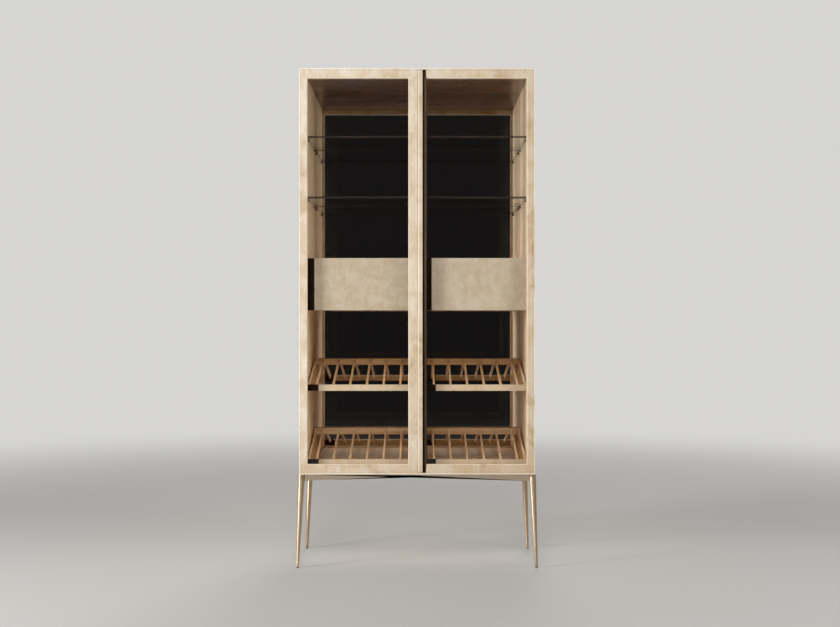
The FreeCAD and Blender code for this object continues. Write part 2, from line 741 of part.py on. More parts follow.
def make_rack(level, side, sign):
    """A sloping bottle rack: front rail, finger pull, and a grid of cheeks, rear rail and slats."""
    name = "rack_%s_%s_" % (level, side)
    left, right = unit_spans(sign)
    low = rack_levels[level]
    rail_top = low + rack_rail_height
    make_front(name, "front_rail", rack_pull_width, left, right, low, rail_top)
    rear_top = rail_top + rack_climb
    centre_x = unit_x * sign
    half = (box_outer_x - box_inner_x) / 2
    cheek = [
        (inner_board_y, low),
        (rack_back_y, low),
        (rack_back_y, rear_top),
        (rear_rail_y, rear_top),
        (inner_board_y, rail_top),
    ]
    pieces = []
    for cheek_low in (centre_x - half, centre_x + half - cheek_board):
        board = new_body("%scheek_%d" % (name, len(pieces)))
        add(board, "YZ", [cheek], cheek_low, cheek_low + cheek_board)
        pieces.append(board)
    inside_x = (centre_x - half + cheek_board, centre_x + half - cheek_board)
    rail_z = (rear_top - rear_rail_height, rear_top)
    pieces.append(box(name + "rear_rail", inside_x, (rear_rail_y, rack_back_y), rail_z))
    slat = [
        (inner_board_y, rail_top - slat_height),
        (rear_rail_y, rear_top - slat_drop - slat_height),
        (rear_rail_y, rear_top - slat_drop),
        (inner_board_y, rail_top),
    ]
    margins = (slat_inner_margin, slat_outer_margin)
    left_margin, right_margin = margins if sign > 0 else margins[::-1]
    first_x = inside_x[0] + left_margin
    slat_pitch = (inside_x[1] - right_margin - first_x) / (slats_per_rack - 1)
    for number in range(slats_per_rack):
        slat_x = first_x + slat_pitch * number - slat_width / 2
        bar = new_body("%sslat_%d" % (name, number))
        add(bar, "YZ", [slat], slat_x, slat_x + slat_width)
        pieces.append(bar)
    group(name + "grid", pieces)


def runner_places():
    """The wall planes and lower edges of all twelve runners, with the way that each faces."""
    levels = [drawer_runner_low]
    for low in rack_levels.values():
        levels.append(low + rack_runner_lift)
    places = []
    for low in levels:
        for wall_x, facing in ((-inner_x, 1), (-post_x, -1), (post_x, 1), (inner_x, -1)):
            places.append((wall_x, facing, low))
    return places


def make_runners():
    """The runners: a fixed channel on each wall and a sliding bar on each box or rack."""
    tracks = []
    slides = []
    half = runner_width / 2
    for wall_x, facing, low in runner_places():
        number = len(tracks)
        high = low + runner_height
        web_x = wall_x + runner_wall * facing
        mouth_x = wall_x + (half + runner_wall) * facing
        channel = [
            (wall_x, low),
            (mouth_x, low),
            (mouth_x, low + runner_wall),
            (web_x, low + runner_wall),
            (web_x, high - runner_wall),
            (mouth_x, high - runner_wall),
            (mouth_x, high),
            (wall_x, high),
        ]
        track = new_body("track_%d" % number)
        add(track, "XZ", [channel], *runner_y)
        tracks.append(track)
        box_x = wall_x + runner_width * facing
        bar_x = wall_x + (runner_wall + seat_gap) * facing
        span = (bar_x, box_x) if facing > 0 else (box_x, bar_x)
        up = (low + runner_wall + seat_gap, high - runner_wall - seat_gap)
        slides.append(box("slide_%d" % number, span, runner_y, up))
    group("runner_tracks", tracks)
    group("runner_slides", slides)


def make_leg(label, x_sign, y_sign):
    """A turned, tapered leg that leans outwards, with the plate that holds it under the body."""
    lean_x = tip_x - top_x
    lean_y = tip_y - top_y
    lean = diagonal(lean_x, lean_y)
    length = diagonal(lean_x, lean_y, leg_root)
    turned = new_body(label + "_turned")
    profile = sketch_on(turned, "XZ", ZERO)
    corners = [(ZERO, ZERO), (ZERO, -length), (leg_tip_radius, -length)]
    for angle in shoulder_angles:
        drawn_in = leg_shoulder * (1 - cos(radians(angle)))
        sunk = leg_shoulder * (1 - sin(radians(angle)))
        height = ZERO if angle == shoulder_angles[-1] else -sunk
        corners.append((leg_top_radius - drawn_in, height))
    draw_outline(profile, corners)
    spin = turned.newObject("PartDesign::Revolution", label + "_spin")
    spin.Profile = profile
    upright = [feature for feature in turned.Origin.OriginFeatures if feature.Role == "Z_Axis"][0]
    spin.ReferenceAxis = (upright, [""])
    spin.Angle = full_turn
    doc.recompute()
    turned.Placement = Placement(Vector(), Rotation(Vector(1, 0, 0), 1))
    place(turned, top_x * x_sign, top_y * y_sign, leg_root)
    across = "%s / %s" % ((lean_y * y_sign).text, lean.text)
    along = "%s / %s" % ((lean_x * -x_sign).text, lean.text)
    turned.setExpression("Placement.Rotation.Axis.x", across)
    turned.setExpression("Placement.Rotation.Axis.y", along)
    turned.setExpression("Placement.Rotation.Angle", "atan(%s / %s)" % (lean.text, leg_root.text))
    outer_x = side_x - corner_plate_inset
    outer_y = back_y - corner_plate_inset
    far_x = outer_x - corner_plate_width
    far_y = outer_y - corner_plate_width
    corner = [(outer_x, far_y), (outer_x, outer_y), (far_x, outer_y)]
    plate = new_body(label + "_plate")
    add(plate, "XY", [[(x * x_sign, y * y_sign) for x, y in corner]], leg_top, leg_height)
    held = fuse(label + "_held", [turned, plate])
    foot_x = (tip_x * x_sign - leg_top_radius, tip_x * x_sign + leg_top_radius)
    foot_y = (tip_y * y_sign - leg_top_radius, tip_y * y_sign + leg_top_radius)
    below = box(label + "_below", foot_x, foot_y, (-glide_height, glide_height))
    leg = doc.addObject("Part::Cut", label)
    leg.Base = held
    leg.Tool = below
    return leg


def make_rail(label, plane, centre, end, lean):
    """A rail between two legs, with ends that follow them and an underside that rises to the middle."""
    rail_low = leg_top - base_rail_height
    outline = [
        (end, leg_top),
        (-end, leg_top),
        (-(end + lean), rail_low),
        (ZERO, leg_top - base_rail_middle),
        (end + lean, rail_low),
    ]
    rail = new_body(label)
    half = base_rail_board / 2
    add(rail, plane, [outline], centre - half, centre + half)


def make_base():
    """Four legs with glides, and the rails between them."""
    legs = []
    glides = []
    for side, x_sign in (("left", -1), ("right", 1)):
        for end, y_sign in (("front", -1), ("rear", 1)):
            label = "leg_%s_%s" % (end, side)
            legs.append(make_leg(label, x_sign, y_sign))
            foot = (tip_x * x_sign, tip_y * y_sign, ZERO)
            glides.append(rod(label + "_glide", glide_radius, glide_height, *foot))
    group("legs", legs)
    group("leg_glides", glides)
    reach = leg_top_radius + seat_gap
    taper = leg_top_radius - leg_tip_radius
    lean_x = (tip_x - top_x + taper).scaled_by(base_rail_height, leg_root)
    lean_y = (tip_y - top_y + taper).scaled_by(base_rail_height, leg_root)
    make_rail("base_rail_front", "XZ", -top_y, top_x - reach, lean_x)
    make_rail("base_rail_rear", "XZ", top_y, top_x - reach, lean_x)
    make_rail("base_rail_left", "YZ", -top_x, top_y - reach, lean_y)
    make_rail("base_rail_right", "YZ", top_x, top_y - reach, lean_y)


make_carcass()
make_drawer_case()
make_shelves()
make_door("left", -1, left_meeting_x, left_meeting_width)
make_door("right", 1, right_meeting_x, right_meeting_width)
make_meeting_stiles()
make_pivots_and_catch()
for side, sign in (("left", -1), ("right", 1)):
    make_drawer(side, sign)
    for level in rack_levels:
        make_rack(level, side, sign)
make_runners()
make_base()
doc.recompute()

# A sub-part is every solid object that nothing else is made from
parts = []
for thing in doc.Objects:
    if {"Invalid", "Error"} & set(thing.State):
        raise RuntimeError("%s failed: %s" % (thing.Label, thing.State))
    solid = thing.TypeId == "PartDesign::Body" or thing.TypeId.startswith("Part::")
    users = [user for user in thing.InList if user.TypeId.startswith("Part::")]
    if solid and not users:
        parts.append(thing)
for thing in parts:
    if thing.Shape.isNull() or not thing.Shape.isValid() or not thing.Shape.Solids:
        raise RuntimeError("%s has no valid shape" % thing.Label)
os.makedirs("parts", exist_ok=True)
for thing in parts:
    thing.Shape.exportStep("parts/%s.step" % thing.Label)
print("%d sub-parts written" % len(parts))
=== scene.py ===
import math

import bmesh
import bpy
import numpy as np
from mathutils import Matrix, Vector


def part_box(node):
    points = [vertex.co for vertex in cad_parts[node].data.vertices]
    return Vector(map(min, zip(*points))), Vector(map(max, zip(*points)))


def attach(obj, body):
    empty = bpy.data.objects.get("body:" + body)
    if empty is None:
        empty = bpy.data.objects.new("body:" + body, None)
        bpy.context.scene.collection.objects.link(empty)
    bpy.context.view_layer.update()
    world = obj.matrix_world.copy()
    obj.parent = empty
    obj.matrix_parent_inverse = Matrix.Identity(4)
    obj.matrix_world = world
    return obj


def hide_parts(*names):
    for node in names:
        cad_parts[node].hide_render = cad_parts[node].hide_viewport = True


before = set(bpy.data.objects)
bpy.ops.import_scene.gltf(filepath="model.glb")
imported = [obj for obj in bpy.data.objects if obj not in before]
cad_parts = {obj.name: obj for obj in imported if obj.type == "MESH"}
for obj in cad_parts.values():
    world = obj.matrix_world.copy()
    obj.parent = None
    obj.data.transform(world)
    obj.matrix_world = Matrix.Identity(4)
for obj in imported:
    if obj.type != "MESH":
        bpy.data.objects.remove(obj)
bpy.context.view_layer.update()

bl_info = {
    "name": "Bar cabinet looks",
    "version": (1, 0, 0),
    "blender": (4, 5, 0),
    "location": "3D View > Sidebar > Bar Cabinet",
    "description": "Dresses the packed bar cabinet with fine edges, veneers, metals and glass",
    "category": "Object",
}

MM = 0.001


# Sizes and colours that a user may change

class CabinetSizes(bpy.types.PropertyGroup):
    """Sizes of the details that the looks add."""

    door_edge: bpy.props.FloatProperty(
        name="Door edge", description="Rounding of the door frames, the grip strip and the bead behind it",
        default=0.6 * MM, min=0, unit="LENGTH")
    door_fullness: bpy.props.FloatProperty(
        name="Door fullness", description="How far the veneered frame fills the gap round the doors",
        default=0.9 * MM, min=0, max=1.0 * MM, unit="LENGTH")
    carcass_edge: bpy.props.FloatProperty(
        name="Carcass edge", description="Rounding of the carcass boards' edges",
        default=0.5 * MM, min=0, unit="LENGTH")
    pane_bevel: bpy.props.FloatProperty(
        name="Pane bevel", description="Width of the bevel round the panes",
        default=2.4 * MM, min=0, unit="LENGTH")
    board_edge: bpy.props.FloatProperty(
        name="Board edge", description="Rounding of drawer fronts, rails and slats",
        default=0.8 * MM, min=0, unit="LENGTH")
    fine_edge: bpy.props.FloatProperty(
        name="Fine edge", description="Rounding of the finger pulls and other narrow pieces",
        default=0.3 * MM, min=0, unit="LENGTH")
    shelf_edge: bpy.props.FloatProperty(
        name="Shelf edge", description="Rounding of the glass shelves",
        default=1.2 * MM, min=0, unit="LENGTH")
    metal_edge: bpy.props.FloatProperty(
        name="Metal edge", description="Rounding of the base's metal plates and rails",
        default=0.5 * MM, min=0, unit="LENGTH")
    leg_shoulder: bpy.props.FloatProperty(
        name="Leg shoulder", description="Rounding at the top of the legs",
        default=4 * MM, min=0, unit="LENGTH")


def linear(*levels):
    """8-bit sRGB values as linear light: v / 12.92 below 0.04045, else ((v + 0.055) / 1.055) ^ 2.4."""
    shares = [level / 255 for level in levels]
    return tuple(v / 12.92 if v <= 0.04045 else ((v + 0.055) / 1.055) ** 2.4 for v in shares)


def colour_property(name, description, red, green, blue):
    """A colour given by its 8-bit values, kept in linear light."""
    return bpy.props.FloatVectorProperty(
        name=name, description=description, subtype="COLOR", size=3,
        default=linear(red, green, blue), min=0, max=1)


class CabinetColours(bpy.types.PropertyGroup):
    """Colours of the finishes."""

    veneer_pale: colour_property("Veneer, pale", "Pale clouds of the frame veneer", 235, 223, 205)
    veneer_gold: colour_property("Veneer, gold", "Golden clouds of the frame veneer", 211, 187, 153)
    veneer_ochre: colour_property("Veneer, ochre", "Ochre patches of the frame veneer", 178, 146, 106)
    front_pale: colour_property("Front, pale", "Pale tone of the drawer fronts", 203, 188, 165)
    front_deep: colour_property("Front, deep", "Deeper tone of the drawer fronts", 184, 164, 137)
    rack_pale: colour_property("Rack front, pale", "Pale clouds of the rack fronts", 216, 197, 168)
    inner_light: colour_property("Inside, light", "Light grain of the inner veneer", 250, 230, 198)
    inner_dark: colour_property("Inside, dark", "Dark grain of the inner veneer", 226, 192, 150)
    deck_light: colour_property("Deck, light", "Light grain of the floor and the drawer case", 248, 224, 192)
    deck_dark: colour_property("Deck, dark", "Dark grain of the floor and the drawer case", 224, 190, 152)
    # Painted shade: the ceiling has the inner veneer's grain, made darker for the shade it lies in
    ceiling_shaded_light: colour_property("Ceiling, light", "Light grain of the ceiling", 140, 99, 68)
    ceiling_shaded_dark: colour_property("Ceiling, dark", "Dark grain of the ceiling", 88, 60, 40)
    # Painted highlight: the carcass's front edge is paler than its veneer, for the light its rounded edge
    # catches
    lip_highlight: colour_property("Lip", "Pale edge of the carcass round the doors", 250, 241, 226)
    trim: colour_property("Trim", "Fine bead that holds the panes", 240, 224, 194)
    groove: colour_property("Groove", "Brown metal of the finger groove", 104, 84, 68)
    rack_light: colour_property("Rack, light", "Light grain of the rack wood", 242, 212, 168)
    rack_dark: colour_property("Rack, dark", "Dark grain of the rack wood", 208, 166, 118)
    leg_metal: colour_property("Leg metal", "Turned metal of the legs", 222, 198, 168)
    rail_metal: colour_property("Rail metal", "Satin metal of the base rails", 240, 220, 194)
    # Painted shadow: the pulls and the groove liner are real metal parts, made very dark to stand in for the
    # shadow the door stiles cast on them
    bronze: colour_property("Bronze", "Dark metal of the finger pulls", 60, 42, 30)
    floor: colour_property("Floor", "Plain studio floor", 214, 212, 209)
    background: colour_property("Background", "Plain studio background", 214, 213, 211)


# Shader maths

class Value:
    """A number that varies over a surface, as the output of a node."""

    def __init__(self, recipe, socket):
        self.recipe = recipe
        self.socket = socket

    def _math(self, operation, left, right):
        made = self.recipe.node("ShaderNodeMath", {"operation": operation}, {0: left, 1: right})
        return Value(self.recipe, made.outputs[0])

    def __add__(self, other):
        return self._math("ADD", self, other)

    __radd__ = __add__

    def __sub__(self, other):
        return self._math("SUBTRACT", self, other)

    def __rsub__(self, other):
        return self._math("SUBTRACT", other, self)

    def __mul__(self, other):
        return self._math("MULTIPLY", self, other)

    __rmul__ = __mul__

    def power(self, exponent):
        """The number raised to an exponent."""
        return self._math("POWER", self, exponent)

    def between(self, low, high):
        """0 below low, 1 above high and a smooth step between them."""
        made = self.recipe.node(
            "ShaderNodeMapRange", {"interpolation_type": "SMOOTHSTEP"},
            {"Value": self, "From Min": low, "From Max": high})
        return Value(self.recipe, made.outputs["Result"])


class Recipe:
    """The node tree of a material or of the world."""

    def __init__(self, owner):
        owner.use_nodes = True
        self.owner = owner
        self.tree = owner.node_tree

    @classmethod
    def for_material(cls, name):
        """The recipe of a new material."""
        return cls(bpy.data.materials.new(name))

    def own(self, kind):
        """The node of a kind that the tree came with."""
        return next(node for node in self.tree.nodes if node.type == kind)

    def node(self, kind, settings=None, sockets=None):
        """Any node: its settings first, then the values or links of its sockets."""
        made = self.tree.nodes.new(kind)
        for name, value in (settings or {}).items():
            setattr(made, name, value)
        for key, value in (sockets or {}).items():
            self.feed(made.inputs[key], value)
        return made

    def feed(self, socket, value):
        """Link a varying value to a socket, or set a constant on it."""
        if isinstance(value, Value):
            value = value.socket
        if isinstance(value, bpy.types.NodeSocket):
            self.tree.links.new(value, socket)
        else:
            socket.default_value = value

    def place(self, scale=(1, 1, 1), turn=(0, 0, 0)):
        """Object coordinates, stretched and turned."""
        source = self.node("ShaderNodeTexCoord").outputs["Object"]
        made = self.node("ShaderNodeMapping", None, {"Vector": source, "Scale": scale, "Rotation": turn})
        return made.outputs["Vector"]

    def along(self, axis):
        """How far a point lies along one axis, in metres."""
        source = self.node("ShaderNodeTexCoord").outputs["Object"]
        return Value(self, self.node("ShaderNodeSeparateXYZ", None, {0: source}).outputs[axis])

    def noise(self, where, scale, detail, roughness=0.5, distortion=0.0):
        """Cloudy noise from 0 to 1, with clouds about 1 / scale metres across."""
        made = self.node("ShaderNodeTexNoise", None, {
            "Vector": where, "Scale": scale, "Detail": detail,
            "Roughness": roughness, "Distortion": distortion})
        return Value(self, made.outputs[0])

    def mix(self, share, first, second):
        """A colour between two, by sockets 0, 6 and 7 of a colour Mix node."""
        made = self.node("ShaderNodeMix", {"data_type": "RGBA"}, {0: share, 6: first, 7: second})
        return made.outputs[2]

    def surface(self, colour, roughness, metallic=0.0, relief=None, depth=0.0, **constants):
        """Feed the material's shader, constants on its own sockets, and return the material."""
        shader = self.own("BSDF_PRINCIPLED")
        self.feed(shader.inputs["Base Color"], colour)
        self.feed(shader.inputs["Roughness"], roughness)
        self.feed(shader.inputs["Metallic"], metallic)
        for name, value in constants.items():
            self.feed(shader.inputs[name.replace("_", " ")], value)
        if relief is not None:
            bump = self.node("ShaderNodeBump", None, {"Height": relief, "Distance": depth})
            self.feed(shader.inputs["Normal"], bump.outputs["Normal"])
        return self.owner


def opaque(colour):
    """A colour with full alpha, as colour sockets take it."""
    return (*colour, 1.0)


def toned(colour, share):
    """A colour made darker or lighter by a share of its light, with full alpha."""
    return opaque(tuple(part * share for part in colour))


def drawn_out(along, share):
    """The scale that draws a pattern out along one axis, where only a share of its changes is left."""
    return tuple(share if axis == along else 1.0 for axis in "xyz")


# Finishes

def cloud_veneer(name, pale, gold, ochre_and_shade, roughness=0.42, right_shade_and_low_weight=0.42, fineness=1.0):
    """A lacquered veneer: soft clouds 40 to 80 mm across, fine upright streaks and flecks.

    It is darker towards the right, a painted shade for light that falls from the left, and darker towards
    the bottom rails; its patches are stronger in both.
    """
    r = Recipe.for_material(name)
    where = r.place()
    clouds = r.noise(where, scale=12.0 * fineness, detail=5.0, roughness=0.62, distortion=0.35)
    upright = r.place((1, 1, 0.45))
    drift = r.noise(upright, scale=26.0 * fineness, detail=4.0, roughness=0.6, distortion=0.3)
    leaning = r.place((1, 1, 0.2), (0, 0.4, 0))
    streaks = r.noise(leaning, scale=85.0, detail=3.0, roughness=0.6, distortion=0.3)
    patches = r.noise(where, scale=8.0 * fineness, detail=5.0, roughness=0.66, distortion=0.35)
    flecks = r.noise(where, scale=210.0, detail=3.0, roughness=0.65)
    drift = drift.between(0.35, 0.7)
    # Painted shade: the veneer darkens towards the right, where less light falls; it also darkens towards
    # the bottom rails
    right = r.along("X").between(-0.5, 0.7)
    bottom = 1 - r.along("Z").between(0.37, 0.5)
    right_shade_and_low = right + bottom * 0.5
    patchiness = patches.between(0.5, 0.7) * (right_shade_and_low * 0.4 + 0.45)
    colour = r.mix(clouds.between(0.38, 0.64) * 0.6 + drift * 0.3, opaque(pale), opaque(gold))
    colour = r.mix(patchiness + streaks.between(0.46, 0.72) * 0.22, colour, opaque(ochre_and_shade))
    # Mix in the painted shade towards the right and the darkening towards the bottom rails, with the flecks
    colour = r.mix(right_shade_and_low * right_shade_and_low_weight + flecks.between(0.48, 0.78) * 0.18, colour, opaque(ochre_and_shade))
    return r.surface(colour, flecks * 0.12 + drift * 0.06 + (roughness - 0.08),
                     relief=flecks, depth=0.12 * MM, Coat_Weight=0.06, Coat_Roughness=0.3)


def grained_wood(name, light, dark, along, roughness=0.42, fineness=130.0, contrast=1.0, coat=0.0):
    """Straight grain that runs along one axis, with pores and slow changes of tone."""
    r = Recipe.for_material(name)
    grain = r.place(drawn_out(along, 0.045))
    fibre = r.noise(grain, scale=fineness, detail=5.0, roughness=0.62, distortion=0.5)
    band = r.noise(grain, scale=fineness * 0.22, detail=2.0, distortion=1.1)
    slow = r.noise(r.place(), scale=4.0, detail=2.0)
    pores = r.noise(grain, scale=fineness * 3.1, detail=2.0).between(0.57, 0.7)
    darker = fibre.between(0.34, 0.68) * (0.5 * contrast) + band.between(0.4, 0.62) * (0.4 * contrast)
    colour = r.mix(darker + slow * 0.14, opaque(light), opaque(dark))
    colour = r.mix(pores * 0.35, colour, toned(dark, 0.55))
    return r.surface(colour, fibre * 0.14 + pores * 0.12 + (roughness - 0.09),
                     relief=fibre - pores * 0.6, depth=0.25 * MM, Coat_Weight=coat)


def satin_metal(name, colour, roughness, along="z", wear=0.3, turned=0.0):
    """Brushed metal: fine lines along one axis, and soft spots where hands have dulled it.

    A turned metal has its finest lines round the axis, so its gleam is drawn out lengthways.
    """
    r = Recipe.for_material(name)
    lines = r.noise(r.place(drawn_out(along, 0.02)), scale=900.0, detail=2.0)
    spots = r.noise(r.place(), scale=18.0, detail=4.0, roughness=0.6)
    tone = r.mix(spots.between(0.4, 0.75) * wear, opaque(colour), toned(colour, 0.84))
    return r.surface(tone, lines * 0.1 + spots * 0.1 + (roughness - 0.1), metallic=1.0,
                     relief=lines, depth=0.03 * MM, Anisotropic=turned, Anisotropic_Rotation=0.25)


def smoked_mirror(name):
    """A lightly smoked silvered glass with the slightest unevenness."""
    r = Recipe.for_material(name)
    haze = r.noise(r.place(), scale=3.0, detail=3.0)
    tone = r.mix(haze, opaque((0.70, 0.67, 0.64)), opaque((0.75, 0.72, 0.69)))
    return r.surface(tone, haze * 0.012 + 0.004, metallic=1.0)


def clear_glass(name, tint, strength):
    """Thin clear glass, which shows only what it reflects.

    Its alpha is a small share face on and grows with s^5, where s is 0 face on and 1 edge on.
    """
    r = Recipe.for_material(name)
    slant = Value(r, r.node("ShaderNodeLayerWeight", None, {"Blend": 0.5}).outputs["Facing"])
    smear = r.noise(r.place(), scale=5.0, detail=3.0, roughness=0.55)
    alpha = slant.power(5.0) * (0.6 * strength) + smear * 0.01 + 0.02 * strength
    return r.surface(opaque(tint), smear * 0.02 + 0.01, metallic=1.0, Alpha=alpha)


def glass_edge(name, colour, alpha):
    """The polished edge of a glass plate: dark, and partly seen through."""
    r = Recipe.for_material(name)
    depth = r.noise(r.place((1, 1, 6)), scale=22.0, detail=3.0)
    tone = r.mix(depth.between(0.35, 0.7), opaque(colour), toned(colour, 2.2))
    return r.surface(tone, depth * 0.1 + 0.3, Alpha=alpha, Specular_IOR_Level=0.3)


def moulded_plastic(name, colour):
    """Dark plastic with a fine even grain."""
    r = Recipe.for_material(name)
    grain = r.noise(r.place(), scale=1400.0, detail=2.0, roughness=0.6)
    tone = r.mix(grain, opaque(colour), toned(colour, 1.5))
    return r.surface(tone, grain * 0.15 + 0.42, relief=grain, depth=0.06 * MM)


RECIPES = {
    "veneer": lambda c: cloud_veneer("veneer", c.veneer_pale, c.veneer_gold, c.veneer_ochre),
    "front": lambda c: cloud_veneer(
        "front_veneer", c.front_pale, c.front_deep, c.front_deep,
        roughness=0.5, right_shade_and_low_weight=0.1, fineness=2.4),
    "rack_face": lambda c: cloud_veneer(
        "rack_face_veneer", c.rack_pale, c.veneer_gold, c.veneer_ochre, roughness=0.45, right_shade_and_low_weight=0.2),
    "trim": lambda c: cloud_veneer(
        "trim_veneer", c.trim, c.veneer_pale, c.veneer_gold, roughness=0.5, right_shade_and_low_weight=0.2),
    # Painted highlight along the carcass's front edge
    "lip_highlight": lambda c: cloud_veneer(
        "lip_painted_highlight", c.lip_highlight, c.trim, c.veneer_gold, roughness=0.4, right_shade_and_low_weight=0.4),
    # Painted highlight: the grip strip's bevelled nose is paler, for the light it catches from the left
    "nose": lambda c: cloud_veneer(
        "nose_painted_highlight", c.trim, c.trim, c.veneer_pale, roughness=0.28, right_shade_and_low_weight=0.05),
    "deck": lambda c: grained_wood("inner_veneer_across", c.deck_light, c.deck_dark, "x", coat=0.1),
    "inner": lambda c: grained_wood("inner_veneer_upright", c.inner_light, c.inner_dark, "z"),
    # Painted shade: a darker copy of the inner veneer for the ceiling
    "ceiling": lambda c: grained_wood(
        "ceiling_painted_shade", c.ceiling_shaded_light, c.ceiling_shaded_dark, "x", roughness=0.3, coat=0.2),
    "rack_x": lambda c: grained_wood("rack_wood_across", c.rack_light, c.rack_dark, "x", roughness=0.5),
    "rack_y": lambda c: grained_wood("rack_wood_deep", c.rack_light, c.rack_dark, "y", roughness=0.5),
    "box": lambda c: grained_wood(
        "drawer_wood", c.rack_light, c.rack_dark, "y", roughness=0.5, fineness=90.0, contrast=0.7),
    "back": lambda c: grained_wood(
        "back_board", c.deck_light, c.deck_dark, "z", roughness=0.6, fineness=90.0, contrast=0.6),
    "leg": lambda c: satin_metal("leg_metal", c.leg_metal, 0.44, turned=0.9),
    "rail": lambda c: satin_metal("rail_metal", c.rail_metal, 0.22, "x"),
    # Painted shadow: the very dark metal of the pulls and the groove liner
    "bronze": lambda c: satin_metal("bronze", c.bronze, 0.42, wear=0.5),
    "groove": lambda c: satin_metal("groove_metal", c.groove, 0.38, wear=0.5),
    "steel": lambda c: satin_metal("steel", (0.55, 0.54, 0.52), 0.34, "y"),
    "pin": lambda c: satin_metal("pin_metal", (0.24, 0.19, 0.15), 0.35, "x"),
    "mirror": lambda c: smoked_mirror("smoked_mirror"),
    "pane": lambda c: clear_glass("pane_glass", (0.95, 0.97, 0.95), strength=0.4),
    "shelf": lambda c: clear_glass("shelf_glass", (0.9, 0.95, 0.92), strength=1.0),
    "shelf_front": lambda c: glass_edge("shelf_glass_edge", (0.02, 0.013, 0.009), alpha=0.8),
    "shelf_side": lambda c: glass_edge("shelf_glass_side", (0.03, 0.02, 0.013), alpha=0.3),
    "plastic": lambda c: moulded_plastic("black_plastic", (0.02, 0.02, 0.02)),
}
FINISHES = {}


def finish(name):
    """A finish by name, made at its first use."""
    if name not in FINISHES:
        FINISHES[name] = RECIPES[name](bpy.context.scene.cabinet_colours)
    return FINISHES[name]


# Surfaces

# The two directions across each axis, in right-handed order, and the axis itself
AXES = {"x": (1, 2, 0), "y": (2, 0, 1), "z": (0, 1, 2)}


def quads(rows, columns, rows_join=False, columns_join=True):
    """The quads of a grid, row by row. Where rows or columns join, the last goes on to the first."""
    down = rows if rows_join else rows - 1
    across = columns if columns_join else columns - 1
    row = np.repeat(np.arange(down), across)
    column = np.tile(np.arange(across), down)
    next_row = (row + 1) % rows
    next_column = (column + 1) % columns
    corners = [row * columns + column, row * columns + next_column,
               next_row * columns + next_column, next_row * columns + column]
    return np.stack(corners, axis=1).tolist()


def tube(grid, smooth):
    """The points and faces of closed rings that climb an axis, with a flat cap at each end."""
    rows, columns = grid.shape[:2]
    last = (rows - 1) * columns
    caps = [list(range(columns))[::-1], list(range(last, last + columns))]
    return grid.reshape(-1, 3), quads(rows, columns) + caps, smooth.tolist() + [False, False]


def rounded(outline, radius, steps):
    """An outline whose corners follow the curve (1-w)^2 A + 2w(1-w) P + w^2 B, A and B a radius from P.

    On a short side, A and B stay short of its middle.
    """
    longest = 0.45
    before = np.roll(outline, 1, axis=0) - outline
    after = np.roll(outline, -1, axis=0) - outline
    before_length = np.linalg.norm(before, axis=1, keepdims=True)
    after_length = np.linalg.norm(after, axis=1, keepdims=True)
    reach = np.minimum(radius, longest * np.minimum(before_length, after_length))
    start = (outline + before / before_length * reach)[:, None, :]
    end = (outline + after / after_length * reach)[:, None, :]
    w = np.linspace(0, 1, steps + 1)[None, :, None]
    curve = (1 - w) ** 2 * start + 2 * w * (1 - w) * outline[:, None, :] + w ** 2 * end
    return curve.reshape(-1, 2)


def inward(outline):
    """The unit normals of a counter-clockwise outline, towards its inside."""
    along = np.roll(outline, -1, axis=0) - np.roll(outline, 1, axis=0)
    normal = np.stack([-along[:, 1], along[:, 0]], axis=1)
    return normal / np.linalg.norm(normal, axis=1, keepdims=True)


def turned_left(outline):
    """The outline in counter-clockwise order, by the sign of its area."""
    following = np.roll(outline, -1, axis=0)
    area = np.sum(outline[:, 0] * following[:, 1] - following[:, 0] * outline[:, 1])
    return outline if area > 0 else outline[::-1]


def prism(outline, axis, low, high, radius, steps=3):
    """An outline carried along an axis, its corners and both its ends rounded.

    The outline is (y, z), (x, z) or (x, y) for the axes x, y and z. Towards an end, the ring's
    inset = r (1 - sin a) and its distance from the end = r (1 - cos a), for a from 0 to a quarter turn.
    """
    across, up, along = AXES[axis]
    pairs = np.asarray(outline, float)
    if axis == "y":
        pairs = pairs[:, ::-1]
    ring = rounded(turned_left(pairs), radius, steps)
    angle = np.linspace(0, np.pi / 2, steps + 1)
    inset = radius * (1 - np.sin(angle))
    sunk = radius * (1 - np.cos(angle))
    insets = np.concatenate([inset, inset[::-1]])
    places = np.concatenate([low + sunk, (high - sunk)[::-1]])
    flat = ring[None, :, :] + inward(ring)[None, :, :] * insets[:, None, None]
    grid = np.empty((len(places), len(ring), 3))
    grid[:, :, across] = flat[:, :, 0]
    grid[:, :, up] = flat[:, :, 1]
    grid[:, :, along] = places[:, None]
    row, column = np.divmod(np.arange((len(places) - 1) * len(ring)), len(ring))
    flat_side = (row == steps) & (column % (steps + 1) == steps)
    return tube(grid, ~flat_side)


def spun(root, tip, stations, radii, segments):
    """Level circles of radii r(s) about the line root + s (tip - root), which runs down."""
    turn = np.linspace(0, 2 * np.pi, segments, endpoint=False)
    centres = root + stations[:, None] * (tip - root)
    grid = np.empty((len(stations), segments, 3))
    grid[:, :, 0] = centres[:, 0, None] + radii[:, None] * np.cos(turn)
    grid[:, :, 1] = centres[:, 1, None] + radii[:, None] * np.sin(turn)
    grid[:, :, 2] = centres[:, 2, None]
    return tube(grid[::-1], np.ones((len(stations) - 1) * segments, bool))


